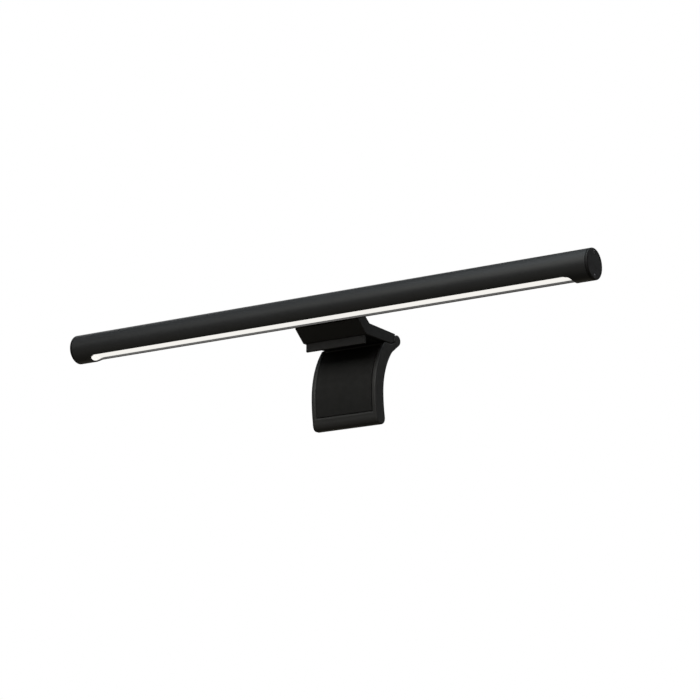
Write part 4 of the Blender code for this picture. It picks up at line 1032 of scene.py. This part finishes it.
def make_pin_plug():
    """The button that hides the pin's end, as a profile of (x, radius)."""
    plug = moved(turned(PLUG_PROFILE), Matrix.Translation((-CLAMP_HALF + PLUG_INSET, 0, 0)))
    add_clamp_piece("pin_plug_cap", plug, "clamp_black", "pin_plug")


# ---------------------------------------------------------------- carried-over CAD nodes


def dress_cad_nodes():
    """Every CAD node that still shows gets the finish of its slot in the record."""
    slots = {part["node"]: part["material_slot"] for part in frame["record"]["subparts"]}
    for name, node in frame["nodes"].items():
        if node.hide_render:
            continue
        for holder in node.material_slots:
            holder.link = "OBJECT"
            holder.material = MATERIALS[slots[name]]


# ---------------------------------------------------------------- studio and camera

# Places and sizes here are in metres, and the camera's angles in degrees. Its lens is in millimetres.
FLOOR_HEIGHT = -1.75
FLOOR_SIZE = 60
CAMERA_PLACE = (0.95236, -1.44473, -0.42732)
CAMERA_ANGLES = (103.734, 0, 33.258)
CAMERA_LENS = 124.26
FLOOR_COLOUR = (0.9, 0.9, 0.9, 1)
FLOOR_ROUGHNESS = 0.9
FLOOR_GLOW = 0.6
SOFTBOX_DISTANCE = 2.8
SOFTBOX_SIZE = 1.5
# The glow's colour by the sine of its height: straight below, low, level, above.
GLOW = [
    (-1.0, (0.01, 0.01, 0.008)),
    (-0.5, (0.17, 0.157, 0.13)),
    (0.0, (0.09, 0.087, 0.078)),
    (0.4, (0.06, 0.062, 0.066)),
]
# Name, azimuth and elevation in degrees, power in watts, colour.
SOFTBOXES = [
    ("front_right", 20, 30, 31.0, (1.0, 1.0, 0.96)),
    ("front_left", -22, 30, 9.0, (1.0, 1.0, 0.94)),
    ("front_high", -15, 62, 16.5, (0.9, 0.97, 1.0)),
    ("overhead", 0, 90, 15.5, (0.85, 0.96, 1.0)),
    ("rear_left", -130, 25, 7.0, (1.0, 1.0, 1.0)),
    ("rear_right", 150, 30, 4.0, (0.95, 0.98, 1.0)),
]


def make_world():
    """Plain white to the camera. Everything else gets a faint glow, warm and strongest from just
    under the horizon, cooler above it and almost none from straight below."""
    world = bpy.data.worlds.new("studio")
    bpy.context.scene.world = world
    world.use_nodes = True
    nodes, links = world.node_tree.nodes, world.node_tree.links
    backdrop = nodes["Background"]
    backdrop.inputs["Color"].default_value = (1, 1, 1, 1)
    where = nodes.new("ShaderNodeTexCoord")
    height = nodes.new("ShaderNodeSeparateXYZ")
    links.new(where.outputs["Generated"], height.inputs["Vector"])
    share = nodes.new("ShaderNodeMapRange")
    share.inputs["From Min"].default_value = -1
    links.new(height.outputs["Z"], share.inputs["Value"])
    ramp = nodes.new("ShaderNodeValToRGB")
    while len(ramp.color_ramp.elements) < len(GLOW):
        ramp.color_ramp.elements.new(0.5)
    for stop, (z, colour) in zip(ramp.color_ramp.elements, GLOW):
        stop.position = (z + 1) / 2
        stop.color = (*colour, 1)
    links.new(share.outputs["Result"], ramp.inputs["Fac"])
    glow = nodes.new("ShaderNodeBackground")
    links.new(ramp.outputs["Color"], glow.inputs["Color"])
    path = nodes.new("ShaderNodeLightPath")
    mix = nodes.new("ShaderNodeMixShader")
    links.new(path.outputs["Is Camera Ray"], mix.inputs["Fac"])
    links.new(glow.outputs["Background"], mix.inputs[1])
    links.new(backdrop.outputs["Background"], mix.inputs[2])
    links.new(mix.outputs["Shader"], nodes["World Output"].inputs["Surface"])


def make_floor():
    """A pale floor far below, which only the camera sees, so that it throws no light on the part."""
    shell = bmesh.new()
    bmesh.ops.create_grid(shell, x_segments=1, y_segments=1, size=FLOOR_SIZE / 2)
    floor = bpy.data.objects.new("floor", new_mesh(shell))
    floor.location = (0, 0, FLOOR_HEIGHT)
    floor.visible_diffuse = False
    floor.visible_glossy = False
    material = bpy.data.materials.new("pale_floor")
    material.use_nodes = True
    shader = material.node_tree.nodes["Principled BSDF"]
    shader.inputs["Base Color"].default_value = FLOOR_COLOUR
    shader.inputs["Roughness"].default_value = FLOOR_ROUGHNESS
    shader.inputs["Emission Color"].default_value = (1, 1, 1, 1)
    shader.inputs["Emission Strength"].default_value = FLOOR_GLOW
    floor.data.materials.append(material)
    bpy.context.scene.collection.objects.link(floor)


def make_softbox(name, azimuth, elevation, power, colour):
    """A square area light that points at the object. Azimuth 0 is straight in front of it."""
    light = bpy.data.lights.new(name, "AREA")
    light.size = SOFTBOX_SIZE
    light.energy = power
    light.color = colour
    lamp = bpy.data.objects.new(name, light)
    around = Matrix.Rotation(math.radians(azimuth), 3, "Z")
    up = Matrix.Rotation(math.radians(-elevation), 3, "X")
    place = around @ up @ Vector((0, -SOFTBOX_DISTANCE, 0))
    lamp.location = place
    lamp.rotation_euler = (-place).to_track_quat("-Z", "Y").to_euler()
    bpy.context.scene.collection.objects.link(lamp)


def make_camera():
    data = bpy.data.cameras.new("camera")
    data.lens = CAMERA_LENS
    camera = bpy.data.objects.new("camera", data)
    camera.location = CAMERA_PLACE
    camera.rotation_euler = [math.radians(angle) for angle in CAMERA_ANGLES]
    bpy.context.scene.collection.objects.link(camera)
    bpy.context.scene.camera = camera


# ---------------------------------------------------------------- assembly

bpy.context.scene.view_settings.view_transform = "Standard"
MATERIALS = make_materials()
make_bar_tube()
make_diffuser()
make_end_cap(-1, "left")
make_end_cap(1, "right")
make_cap_screws()
make_usb_socket()
make_bracket_shell()
make_saddle_liner()
make_base_plate()
make_pads()
make_hinge_bushes()
make_clamp_housing()
make_back_cover()
make_clamp_pad()
make_pin_plug()
dress_cad_nodes()
make_world()
make_floor()
for lamp in SOFTBOXES:
    make_softbox(*lamp)
make_camera()
